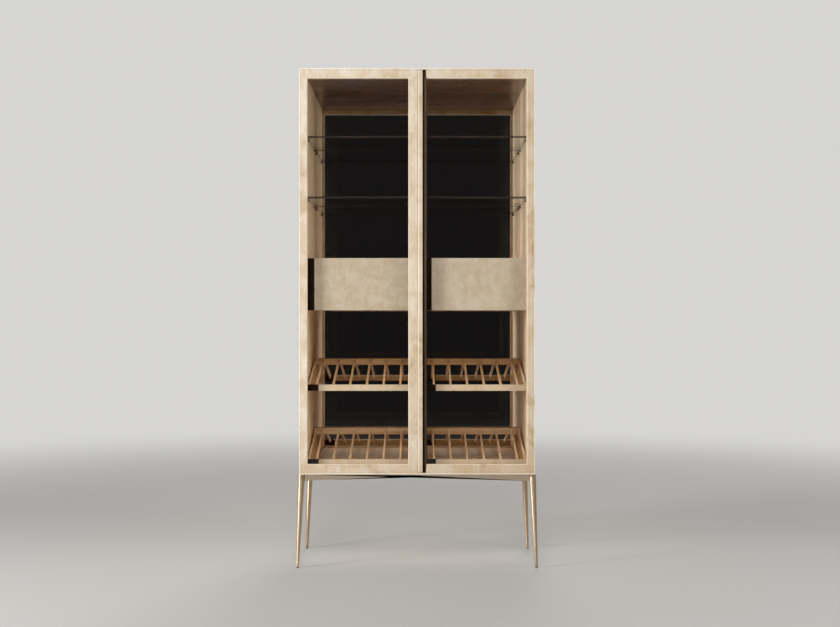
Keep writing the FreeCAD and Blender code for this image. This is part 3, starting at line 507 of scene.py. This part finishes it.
def frame_ring(outer, inner, profile):
    """A rectangular ring in the XZ plane. Each profile point is measured from one of its rectangles.

    A corner's point is the rectangle's corner moved by the point's inset towards the other rectangle,
    at the point's depth, so the corners are mitred. The profile runs from the outer edge over the front
    and the inner side to the back, so each quad is turned round to look outwards.
    """
    signs = np.array([(-1, -1), (1, -1), (1, 1), (-1, 1)], float)
    outer_corner = np.where(signs < 0, *outer)
    inner_corner = np.where(signs < 0, *inner)
    grid = np.empty((len(signs), len(profile), 3))
    for column, (side, inset, depth) in enumerate(profile):
        corner = outer_corner - signs * inset if side == "outer" else inner_corner + signs * inset
        grid[:, column, 0] = corner[:, 0]
        grid[:, column, 2] = corner[:, 1]
        grid[:, column, 1] = depth
    faces = [face[::-1] for face in quads(len(signs), len(profile), rows_join=True)]
    return grid.reshape(-1, 3), faces, [False] * len(faces)


def quarter_circle(face, towards, radius, steps):
    """A frame's rounded edge, as pairs: inset = r (1 - cos a), depth = face + r (1 - sin a)."""
    angle = np.linspace(0, np.pi / 2, steps + 1)
    inset = radius * (1 - np.cos(angle))
    depth = face + towards * radius * (1 - np.sin(angle))
    return list(zip(inset.tolist(), depth.tolist()))


# Places in the frame, and pieces on it

def span(node):
    """A node's lowest and highest corners as arrays."""
    low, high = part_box(node)
    return np.array(low), np.array(high)


def body_box():
    """The lowest and highest corners of the cabinet's body above its legs."""
    return span("side_panel_left")[0], span("side_panel_right")[1]


def box_between(low, high, axis, radius):
    """A box between two corners as a prism along an axis."""
    along = "xyz".index(axis)
    first, second = [number for number in range(3) if number != along]
    outline = [
        (low[first], low[second]),
        (high[first], low[second]),
        (high[first], high[second]),
        (low[first], high[second]),
    ]
    return prism(outline, axis, low[along], high[along], radius)


def board(node, axis, radius):
    """A node's box as a prism along an axis, with softened edges."""
    low, high = span(node)
    return box_between(low, high, axis, radius)


def place_object(name, data):
    """A new object of the scene."""
    made = bpy.data.objects.new(name, data)
    bpy.context.scene.collection.objects.link(made)
    return made


def piece(name, parts, body, replaced=()):
    """One object of several parts, each with its finish; it rides on a body and may stand for nodes."""
    vertices, faces, smooth, indices, materials = [], [], [], [], []
    offset = 0
    for (points, part_faces, part_smooth), finish_name in parts:
        material = finish(finish_name)
        if material not in materials:
            materials.append(material)
        vertices.append(points)
        faces += [[corner + offset for corner in face] for face in part_faces]
        smooth += part_smooth
        indices += [materials.index(material)] * len(part_faces)
        offset += len(points)
    mesh = bpy.data.meshes.new(name)
    mesh.from_pydata(np.concatenate(vertices).tolist(), [], faces)
    mesh.polygons.foreach_set("use_smooth", np.array(smooth, bool))
    mesh.polygons.foreach_set("material_index", np.array(indices, np.int32))
    for material in materials:
        mesh.materials.append(material)
    mesh.validate()
    made = place_object(name, mesh)
    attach(made, body)
    if replaced:
        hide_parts(*replaced)
    return made


def softened_copy(node, name, radius):
    """A node's mesh with its doubles merged and its flat faces joined, and a bevel along its edges."""
    double = 0.001 * MM
    flat = math.radians(0.5)
    sharp = math.radians(40)
    work = bmesh.new()
    work.from_mesh(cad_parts[node].data)
    bmesh.ops.remove_doubles(work, verts=work.verts, dist=double)
    bmesh.ops.dissolve_limit(work, angle_limit=flat, verts=work.verts, edges=work.edges)
    mesh = bpy.data.meshes.new(name)
    work.to_mesh(mesh)
    work.free()
    mesh.materials.clear()
    made = place_object(name, mesh)
    bevel = made.modifiers.new("edges", "BEVEL")
    bevel.width = radius
    bevel.segments = 2
    bevel.limit_method = "ANGLE"
    bevel.angle_limit = sharp
    bevel.harden_normals = True
    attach(made, "cabinet")
    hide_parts(node)
    return made


def paint(nodes, finish_name):
    """Give CAD nodes a finish."""
    for node in nodes:
        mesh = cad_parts[node].data
        mesh.materials.clear()
        mesh.materials.append(finish(finish_name))


def face_vectors(mesh, attribute):
    """A vector of every face, its normal or its center, as the rows of an array."""
    values = np.empty(len(mesh.polygons) * 3)
    mesh.polygons.foreach_get(attribute, values)
    return values.reshape(-1, 3)


def finish_faces(mesh, finishes, index):
    """Add finishes after those that a mesh has, and give each face one by its number."""
    for name in finishes:
        mesh.materials.append(finish(name))
    mesh.polygons.foreach_set("material_index", index.astype(np.int32))


# Operators, one for each piece or group of like pieces

class CabinetOperator(bpy.types.Operator):
    """What the cabinet's operators share."""

    bl_options = {"REGISTER", "UNDO"}

    @property
    def sizes(self):
        """The sizes that a user may change."""
        return bpy.context.scene.cabinet_sizes


class MakeCarcass(CabinetOperator):
    """Veneer, back board and mirrors of the body"""

    bl_idname = "cabinet.carcass"
    bl_label = "Carcass"

    def execute(self, context):
        self.make_board("side_panel_left", "inner", 0)
        self.make_board("side_panel_right", "inner", 0)
        # The top panel's inner face takes the darker ceiling finish, a painted shade
        self.make_board("top_panel", "ceiling", 2)
        self.make_board("bottom_panel", "deck", 2)
        paint(["back_panel"], "back")
        paint(["mirror_upper", "mirror_lower"], "mirror")
        paint(["drawer_case_top", "drawer_case_floor"], "deck")
        paint(["drawer_divider", "central_upright"], "inner")
        self.make_corner_blocks()
        return {"FINISHED"}

    def make_board(self, node, inside, axis):
        """A merged copy of a board: veneer outside, another finish towards the middle, and a paler front
        edge, a painted highlight.

        Behind the doors, a face is an inner one where it looks along the axis more than half towards
        the middle. The painted highlight goes on what looks forward from the first millimetre of the body's
        depth.
        """
        half, nearly_all = 0.5, 0.9
        lip_depth = 1 * MM
        made = softened_copy(node, node + "_board", self.sizes.carcass_edge)
        centres = face_vectors(made.data, "center")
        normals = face_vectors(made.data, "normal")
        body_low, body_high = body_box()
        middle = (body_low + body_high) / 2
        towards_middle = np.sign(middle[axis] - centres[:, axis])
        behind_doors = centres[:, 1] > span("door_left_hinge_stile")[1][1]
        inner = (normals[:, axis] * towards_middle > half) & behind_doors
        # Painted highlight: the forward faces at the body's front edge take the paler finish
        front = (normals[:, 1] < -nearly_all) & (centres[:, 1] < body_low[1] + lip_depth)
        finish_faces(made.data, ["veneer", inside, "lip_highlight"], inner + 2 * front)

    def make_corner_blocks(self):
        """Small blocks that close the back's housing at both ends of the side panels."""
        play = 0.5 * MM
        side_low, side_high = span("side_panel_right")
        back_low, back_high = span("back_panel")
        housing = back_high[0] + play
        parts = []
        for left, right in ((-housing, -side_low[0]), (side_low[0], housing)):
            for bottom, top in ((side_low[2], back_low[2]), (back_high[2], side_high[2])):
                block = box_between(
                    (left, back_low[1], bottom), (right, side_high[1], top), "y", self.sizes.fine_edge)
                parts.append((block, "veneer"))
        piece("back_corner_blocks", parts, "cabinet")


class MakeDoors(CabinetOperator):
    """Door frames with mitred corners, the grip strip, its groove, and the panes"""

    bl_idname = "cabinet.doors"
    bl_label = "Doors"

    def execute(self, context):
        self.make_frame("left", [
            "door_left_hinge_stile", "door_left_rails", "door_left_meeting_stile", "door_left_trim"])
        self.make_frame("right", [
            "door_right_hinge_stile", "door_right_rails", "door_right_trim"])
        self.make_grip()
        paint(["door_left_glass", "door_right_glass"], "pane")
        paint(["door_left_pivot_leaves", "door_right_pivot_leaves", "pivot_plates"], "steel")
        # Painted shadow: the groove liner is made very dark where the left door's edge casts its shadow
        paint(["door_right_groove_liner"], "bronze")
        bead = board("door_right_return_bead", "z", self.sizes.door_edge)
        piece("door_right_bead", [(bead, "groove")], "door_right", ["door_right_return_bead"])
        paint(["door_catch"], "plastic")
        return {"FINISHED"}

    def make_frame(self, side, replaced):
        """The ring between the door's outline and its pane, with a bevelled bead and the pane's groove.

        It is fuller than the solids it stands for, but not where the right door's groove begins.
        """
        steps = 4
        rim = 5 * MM
        body = "door_" + side
        edge = self.sizes.door_edge
        bevel = self.sizes.pane_bevel
        full = self.sizes.door_fullness
        spans = [span(node) for node in replaced]
        low = np.min(spans, axis=0)[0] - (full if side == "left" else 0, 0, full)
        high = np.max(spans, axis=0)[1] + (full, 0, full)
        trim_low, trim_high = span(body + "_trim")
        pane_low, pane_high = span(body + "_glass")
        bite = pane_low[2] - trim_low[2] - rim
        front, back = low[1], high[1]
        flat = [0, 2]
        outer = (low[flat], high[flat])
        inner = (trim_low[flat] + rim, trim_high[flat] - rim)
        # The bead's full bevel: each point's inset and depth, as shares of the bevel's width
        bead = [(1, 0), (0.35, 0.5), (0, 1.2)]
        groove = [(0, pane_low[1]), (-bite, pane_low[1]), (-bite, pane_high[1]), (0, pane_high[1])]
        profile = [("outer", inset, depth) for inset, depth in quarter_circle(front, 1, edge, steps)]
        profile += [("inner", bevel * inset, front + bevel * depth) for inset, depth in bead]
        profile += [("inner", inset, depth) for inset, depth in groove]
        profile += [("inner", 0, back - edge), ("inner", edge, back)]
        profile += [("outer", inset, depth)
                    for inset, depth in reversed(quarter_circle(back, -1, edge, steps))]
        ring = frame_ring(outer, inner, profile)
        made = piece(body + "_frame", [(ring, "veneer")], body, replaced)
        border, segment = np.divmod(np.arange(len(made.data.polygons)), len(profile))
        bead_start = steps + 1
        index = ((segment >= bead_start) & (segment < bead_start + len(bead))).astype(int)
        if side == "right":
            left_border = border == 3
            index[left_border] = 2
        finish_faces(made.data, ["trim", "groove"], index)

    def make_grip(self):
        """The grip strip: bevelled nose, front that falls back, and the stile behind the groove.

        The nose is what looks both forward and to the left; its paler finish is a painted highlight.
        """
        nose_width, nose_depth = 4.5 * MM, 2 * MM
        fall = 1.5 * MM
        leftward, forward = 0.25, 0.7
        low, high = span("door_right_grip_strip")
        front, back = low[1], high[1]
        outline = [
            (low[0], front + nose_depth),
            (low[0] + nose_width, front),
            (high[0], front + fall),
            (high[0], back),
            (low[0], back),
        ]
        strip = prism(outline, "z", low[2], high[2], self.sizes.door_edge)
        stile = board("door_right_meeting_stile", "z", self.sizes.fine_edge)
        made = piece("door_right_grip", [(strip, "veneer"), (stile, "veneer")], "door_right",
                     ["door_right_grip_strip", "door_right_meeting_stile"])
        normals = face_vectors(made.data, "normal")
        # Painted highlight: these faces take the paler finish
        nose = (normals[:, 0] < -leftward) & (normals[:, 1] < -forward)
        finish_faces(made.data, ["nose"], nose)


class MakeDrawers(CabinetOperator):
    """Drawer fronts, finger pulls and boxes"""

    bl_idname = "cabinet.drawers"
    bl_label = "Drawers"

    def execute(self, context):
        for side in ("left", "right"):
            name = "drawer_" + side
            make_front(name, name + "_front", "front", self.sizes)
            paint([name + "_box", name + "_bottom"], "box")
        return {"FINISHED"}


def make_front(name, node, board_finish, sizes):
    """A front board with its left end cut back behind, and the pull that lines the cut: a real part in a
    very dark metal, whose darkness is a painted shadow of the door stile.
    """
    undercut = 9 * MM
    sheet = 2 * MM
    low, high = span(node)
    outline = [
        (low[0], low[1]),
        (high[0], low[1]),
        (high[0], high[1]),
        (low[0] + undercut, high[1]),
    ]
    front = prism(outline, "z", low[2], high[2], sizes.board_edge)
    piece(name + "_face", [(front, board_finish)], "cabinet", [node])
    pull_low, pull_high = span(name + "_pull")
    web = pull_high[1] - sheet
    slant = undercut * (web - low[1]) / (high[1] - low[1])
    outline = [
        (pull_low[0], pull_low[1]),
        (pull_low[0] + sheet, pull_low[1]),
        (pull_low[0] + sheet, web),
        (low[0] + slant, web),
        (pull_high[0], pull_high[1]),
        (pull_low[0], pull_high[1]),
    ]
    pull = prism(outline, "z", pull_low[2], pull_high[2], sizes.fine_edge)
    # Painted shadow: the pull's dark metal stands where the door stile's shadow falls
    piece(name + "_recess", [(pull, "bronze")], "cabinet", [name + "_pull"])


class MakeRacks(CabinetOperator):
    """Sloping racks: front rails, cheeks, rear rails and slats"""

    bl_idname = "cabinet.racks"
    bl_label = "Sloping racks"

    def execute(self, context):
        for level in ("upper", "lower"):
            for side in ("left", "right"):
                name = "rack_%s_%s" % (level, side)
                make_front(name, name + "_front_rail", "rack_face", self.sizes)
                self.make_grid(name)
        return {"FINISHED"}

    def make_grid(self, name):
        """Two cheeks, a rear rail and six slats that fall from it to the front rail."""
        edge = self.sizes.board_edge
        low, high = span(name + "_grid")
        rail_top = span(name + "_front_rail")[1][2]
        cheek_board, rear_board, rear_height = 8 * MM, 16 * MM, 25 * MM
        slat_count, slat_width, slat_height, slat_drop = 6, 7.5 * MM, 15 * MM, 2 * MM
        outer_margin, inner_margin = 25 * MM, 30 * MM
        rear_y = high[1] - rear_board
        cheek = [
            (low[1], low[2]),
            (high[1], low[2]),
            (high[1], high[2]),
            (rear_y, high[2]),
            (low[1], rail_top),
        ]
        parts = []
        for x in (low[0], high[0] - cheek_board):
            parts.append((prism(cheek, "x", x, x + cheek_board, edge), "rack_y"))
        left, right = low[0] + cheek_board, high[0] - cheek_board
        rear = box_between((left, rear_y, high[2] - rear_height), (right, high[1], high[2]), "x", edge)
        parts.append((rear, "rack_x"))
        slat = [
            (low[1], rail_top - slat_height),
            (rear_y, high[2] - slat_drop - slat_height),
            (rear_y, high[2] - slat_drop),
            (low[1], rail_top),
        ]
        margins = (outer_margin, inner_margin) if low[0] < 0 else (inner_margin, outer_margin)
        for x in np.linspace(left + margins[0], right - margins[1], slat_count):
            parts.append((prism(slat, "x", x - slat_width / 2, x + slat_width / 2, edge), "rack_y"))
        piece(name + "_slats", parts, "cabinet", [name + "_grid"])


class MakeShelves(CabinetOperator):
    """Glass shelves with polished edges, and their metal pins"""

    bl_idname = "cabinet.shelves"
    bl_label = "Glass shelves"

    def execute(self, context):
        for level in ("upper", "lower"):
            self.make_shelf("glass_shelf_" + level)
        paint(["shelf_pins"], "pin")
        return {"FINISHED"}

    def make_shelf(self, node):
        """A plate whose faces above and below are clear, with a darker edge in front than elsewhere."""
        nearly_all, half = 0.9, 0.5
        plate = board(node, "z", self.sizes.shelf_edge)
        made = piece(node + "_plate", [(plate, "shelf")], "cabinet", [node])
        normals = face_vectors(made.data, "normal")
        level = np.abs(normals[:, 2]) > nearly_all
        front = normals[:, 1] < -half
        finish_faces(made.data, ["shelf_front", "shelf_side"], np.where(level, 0, np.where(front, 1, 2)))


class MakeRunners(CabinetOperator):
    """Side runners of the drawers and racks"""

    bl_idname = "cabinet.runners"
    bl_label = "Runners"

    def execute(self, context):
        paint(["runner_tracks", "runner_slides"], "steel")
        return {"FINISHED"}


class MakeBase(CabinetOperator):
    """Turned legs, tapering rails and glides"""

    bl_idname = "cabinet.base"
    bl_label = "Base"

    def execute(self, context):
        for side, x_sign in (("left", -1), ("right", 1)):
            for end, y_sign in (("front", -1), ("rear", 1)):
                parts = [(self.leg(x_sign, y_sign), "leg"), (self.corner_plate(x_sign, y_sign), "rail")]
                piece("leg_%s_%s" % (end, side), parts, "cabinet", ["legs"])
        self.make_rail("base_rail_front", "x")
        self.make_rail("base_rail_rear", "x")
        self.make_rail("base_rail_left", "y")
        self.make_rail("base_rail_right", "y")
        paint(["leg_glides"], "plastic")
        return {"FINISHED"}

    def leg(self, x_sign, y_sign):
        """A round splayed leg: radius = top + (tip - top) s, with a quarter circle at the top."""
        top_radius, tip_radius, tip_rounding = 14 * MM, 5.5 * MM, 0.4 * MM
        root_inside_side, root_inside_front, root_depth = 7 * MM, 30 * MM, 1.5 * MM
        tip_outside_side, tip_inside_front, glide = 8 * MM, 22 * MM, 3 * MM
        shoulder_steps, body_steps, segments = 8, 24, 48
        rounding_share = 0.002
        shoulder = self.sizes.leg_shoulder
        half_width, half_depth = body_box()[1][:2]
        underside = body_box()[0][2]
        signs = np.array([x_sign, y_sign, 1])
        root = signs * (
            half_width - root_inside_side, half_depth - root_inside_front, underside - root_depth)
        tip = signs * (half_width + tip_outside_side, half_depth - tip_inside_front, 0)
        length = root[2]
        end = (length - glide) / length
        angle = np.linspace(np.pi / 2, 0, shoulder_steps + 1)
        shoulder_at = shoulder * (1 - np.sin(angle)) / length
        shoulder_radius = top_radius - shoulder * (1 - np.cos(angle))
        down = np.linspace(shoulder_at[-1], end - rounding_share, body_steps)[1:]
        body_radius = top_radius + (tip_radius - top_radius) * down
        stations = np.concatenate([shoulder_at, down, [end]])
        radii = np.concatenate([shoulder_radius, body_radius, [tip_radius - tip_rounding]])
        return spun(root, tip, stations, radii, segments)

    def corner_plate(self, x_sign, y_sign):
        """A triangular plate that carries a leg under a corner of the body."""
        inset, width, thickness = 4 * MM, 80 * MM, 3 * MM
        underside = body_box()[0][2]
        x, y = body_box()[1][:2] - inset
        outline = [
            (x * x_sign, (y - width) * y_sign),
            (x * x_sign, y * y_sign),
            ((x - width) * x_sign, y * y_sign),
        ]
        return prism(outline, "z", underside - thickness, underside, self.sizes.metal_edge)

    def make_rail(self, node, along):
        """A rail whose underside rises from both ends to the middle, with ends that lean as the legs do."""
        lean = 1.5 * MM
        middle_height = 4 * MM
        low, high = span(node)
        run = "xyz".index(along)
        outline = [
            (low[run] + lean, high[2]),
            (high[run] - lean, high[2]),
            (high[run], low[2]),
            (0, high[2] - middle_height),
            (low[run], low[2]),
        ]
        across = "y" if along == "x" else "x"
        side = "xyz".index(across)
        bar = prism(outline, across, low[side], high[side], self.sizes.metal_edge)
        piece(node + "_bar", [(bar, "rail")], "cabinet", [node])


def shown_rays(recipe):
    """1 for the rays of the camera, of gloss and of clear glass, which show the background; 0 for light."""
    path = recipe.node("ShaderNodeLightPath")
    camera, gloss, glass = [
        Value(recipe, path.outputs[name])
        for name in ("Is Camera Ray", "Is Glossy Ray", "Is Transmission Ray")]
    return (camera + gloss + glass).between(0.0, 1.0)


class MakeStage(CabinetOperator):
    """Plain floor, soft studio light and the camera"""

    bl_idname = "cabinet.stage"
    bl_label = "Stage"

    def execute(self, context):
        self.make_floor()
        self.make_flag()
        self.make_world()
        key = self.make_lamp("key", place=(-4.2, -2.45, 1.4), aim=(0, 0, 1.1), size=1.3, power=73)
        fill = self.make_lamp("fill", place=(4.2, -2.45, 1.4), aim=(0, 0, 1.0), size=2.4, power=48)
        fill.visible_glossy = False
        front = self.make_lamp("front", place=(-0.3, -4.4, 4.3), aim=(0, 0, 0.7), size=1.8, power=28)
        back = self.make_lamp("back", place=(0.6, 3.8, 3.4), aim=(0, 0, 1.0), size=2.0, power=26)
        self.spare_panes(key, front, back)
        self.make_camera()
        bpy.context.scene.view_settings.view_transform = "Standard"
        return {"FINISHED"}

    def make_floor(self):
        """A round floor whose edge fades into the background's colour for the eye, metal and glass."""
        radius, corners = 24.0, 96
        fade_start, fade_end = 1.2, 6.0
        turn = np.linspace(0, 2 * np.pi, corners, endpoint=False)
        rim = np.stack([np.cos(turn) * radius, np.sin(turn) * radius, np.zeros(corners)], axis=1)
        mesh = bpy.data.meshes.new("floor")
        mesh.from_pydata(rim.tolist(), [], [list(range(corners))])
        floor = place_object("floor", mesh)
        colours = bpy.context.scene.cabinet_colours
        r = Recipe.for_material("floor")
        haze = r.noise(r.place(), scale=1.4, detail=3.0)
        tone = r.mix(haze, opaque(colours.floor), toned(colours.floor, 0.97))
        mesh.materials.append(r.surface(tone, haze * 0.05 + 0.65, Specular_IOR_Level=0.0))
        distance = r.node("ShaderNodeVectorMath", {"operation": "LENGTH"}, {0: r.place()})
        fade = Value(r, distance.outputs["Value"]).between(fade_start, fade_end)
        lit = r.own("BSDF_PRINCIPLED").outputs[0]
        glow = r.node("ShaderNodeEmission", None, {"Color": opaque(colours.background)}).outputs[0]
        blend = r.node("ShaderNodeMixShader", None, {0: fade * shown_rays(r), 1: lit, 2: glow})
        r.feed(r.own("OUTPUT_MATERIAL").inputs["Surface"], blend.outputs[0])

    def make_flag(self):
        """A dark cloth in front and to the right that only gloss and glass see. It keeps mirrors deep.

        Its section, from the floor up, is carried round an arc: point = (r sin a, -r cos a, z).
        """
        start, end, columns = -14, 110, 28
        near, far, bend, top = 3.9, 6.6, 0.3, 4.6
        lift = 10 * MM
        section = np.array([(near, lift), (far - bend, lift), (far, bend), (far, top)])
        bearing = np.radians(np.linspace(start, end, columns))
        radius, height = section[:, 0, None], section[:, 1, None]
        grid = np.empty((len(section), columns, 3))
        grid[:, :, 0] = radius * np.sin(bearing)
        grid[:, :, 1] = -radius * np.cos(bearing)
        grid[:, :, 2] = height
        mesh = bpy.data.meshes.new("flag")
        faces = quads(len(section), columns, columns_join=False)
        mesh.from_pydata(grid.reshape(-1, 3).tolist(), [], faces)
        flag = place_object("flag", mesh)
        r = Recipe.for_material("flag_cloth")
        weave = r.noise(r.place(), scale=90.0, detail=2.0)
        tone = r.mix(weave, opaque((0.006, 0.005, 0.006)), opaque((0.010, 0.009, 0.010)))
        mesh.materials.append(r.surface(tone, weave * 0.1 + 0.85))
        flag.visible_camera = False
        flag.visible_diffuse = False
        flag.visible_shadow = False

    def make_world(self):
        """The background's colour for the eye, metal and glass, and a soft even light for the rest."""
        dimmed = 0.34
        colour = bpy.context.scene.cabinet_colours.background
        world = bpy.data.worlds.new("studio")
        bpy.context.scene.world = world
        r = Recipe(world)
        shown = r.mix(shown_rays(r), toned(colour, dimmed), opaque(colour))
        r.feed(r.own("BACKGROUND").inputs["Color"], shown)

    def make_lamp(self, name, place, aim, size, power):
        """A round lamp at a place, turned to the point that it aims at, with its light held together."""
        spread = math.radians(120)
        data = bpy.data.lights.new(name, "AREA")
        data.shape = "DISK"
        data.size = size
        data.energy = power
        data.spread = spread
        lamp = place_object(name, data)
        lamp.location = place
        away = np.subtract(place, aim)
        across = math.atan2(away[0], -away[1])
        down = math.atan2(math.hypot(away[0], away[1]), away[2])
        lamp.rotation_euler = (down, 0, across)
        return lamp

    def spare_panes(self, *lamps):
        """The lamps light all but the panes, in which they would show as burnt-out discs."""
        panes = bpy.data.collections.new("panes")
        for node in ("door_left_glass", "door_right_glass"):
            panes.objects.link(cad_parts[node])
        for receiver in panes.collection_objects:
            receiver.light_linking.link_state = "EXCLUDE"
        for lamp in lamps:
            lamp.light_linking.receiver_collection = panes

    def make_camera(self):
        """A level camera in front of the cabinet, nearly at its middle."""
        data = bpy.data.cameras.new("camera")
        data.lens = 53.56
        data.sensor_width = 36.0
        data.shift_y = 0.0042
        camera = place_object("camera", data)
        camera.location = (0.0114, -4.991, 0.9606)
        camera.rotation_euler = (math.pi / 2, 0, 0)
        bpy.context.scene.camera = camera


class CabinetPanel(bpy.types.Panel):
    """Lists the cabinet's operators, sizes and colours"""

    bl_idname = "VIEW3D_PT_bar_cabinet"
    bl_label = "Bar Cabinet"
    bl_space_type = "VIEW_3D"
    bl_region_type = "UI"
    bl_category = "Bar Cabinet"

    def draw(self, context):
        for operator in OPERATORS:
            self.layout.operator(operator.bl_idname)
        for group in (context.scene.cabinet_sizes, context.scene.cabinet_colours):
            for name in group.__annotations__:
                self.layout.prop(group, name)


OPERATORS = [MakeStage, MakeCarcass, MakeDoors, MakeDrawers, MakeRacks, MakeShelves, MakeRunners, MakeBase]
CLASSES = [CabinetSizes, CabinetColours, *OPERATORS, CabinetPanel]


def register():
    for made in CLASSES:
        bpy.utils.register_class(made)
    bpy.types.Scene.cabinet_sizes = bpy.props.PointerProperty(type=CabinetSizes)
    bpy.types.Scene.cabinet_colours = bpy.props.PointerProperty(type=CabinetColours)


def unregister():
    del bpy.types.Scene.cabinet_colours
    del bpy.types.Scene.cabinet_sizes
    for made in reversed(CLASSES):
        bpy.utils.unregister_class(made)


def main():
    register()
    for operator in OPERATORS:
        group, name = operator.bl_idname.split(".")
        getattr(getattr(bpy.ops, group), name)()


if __name__ == "__main__":
    main()
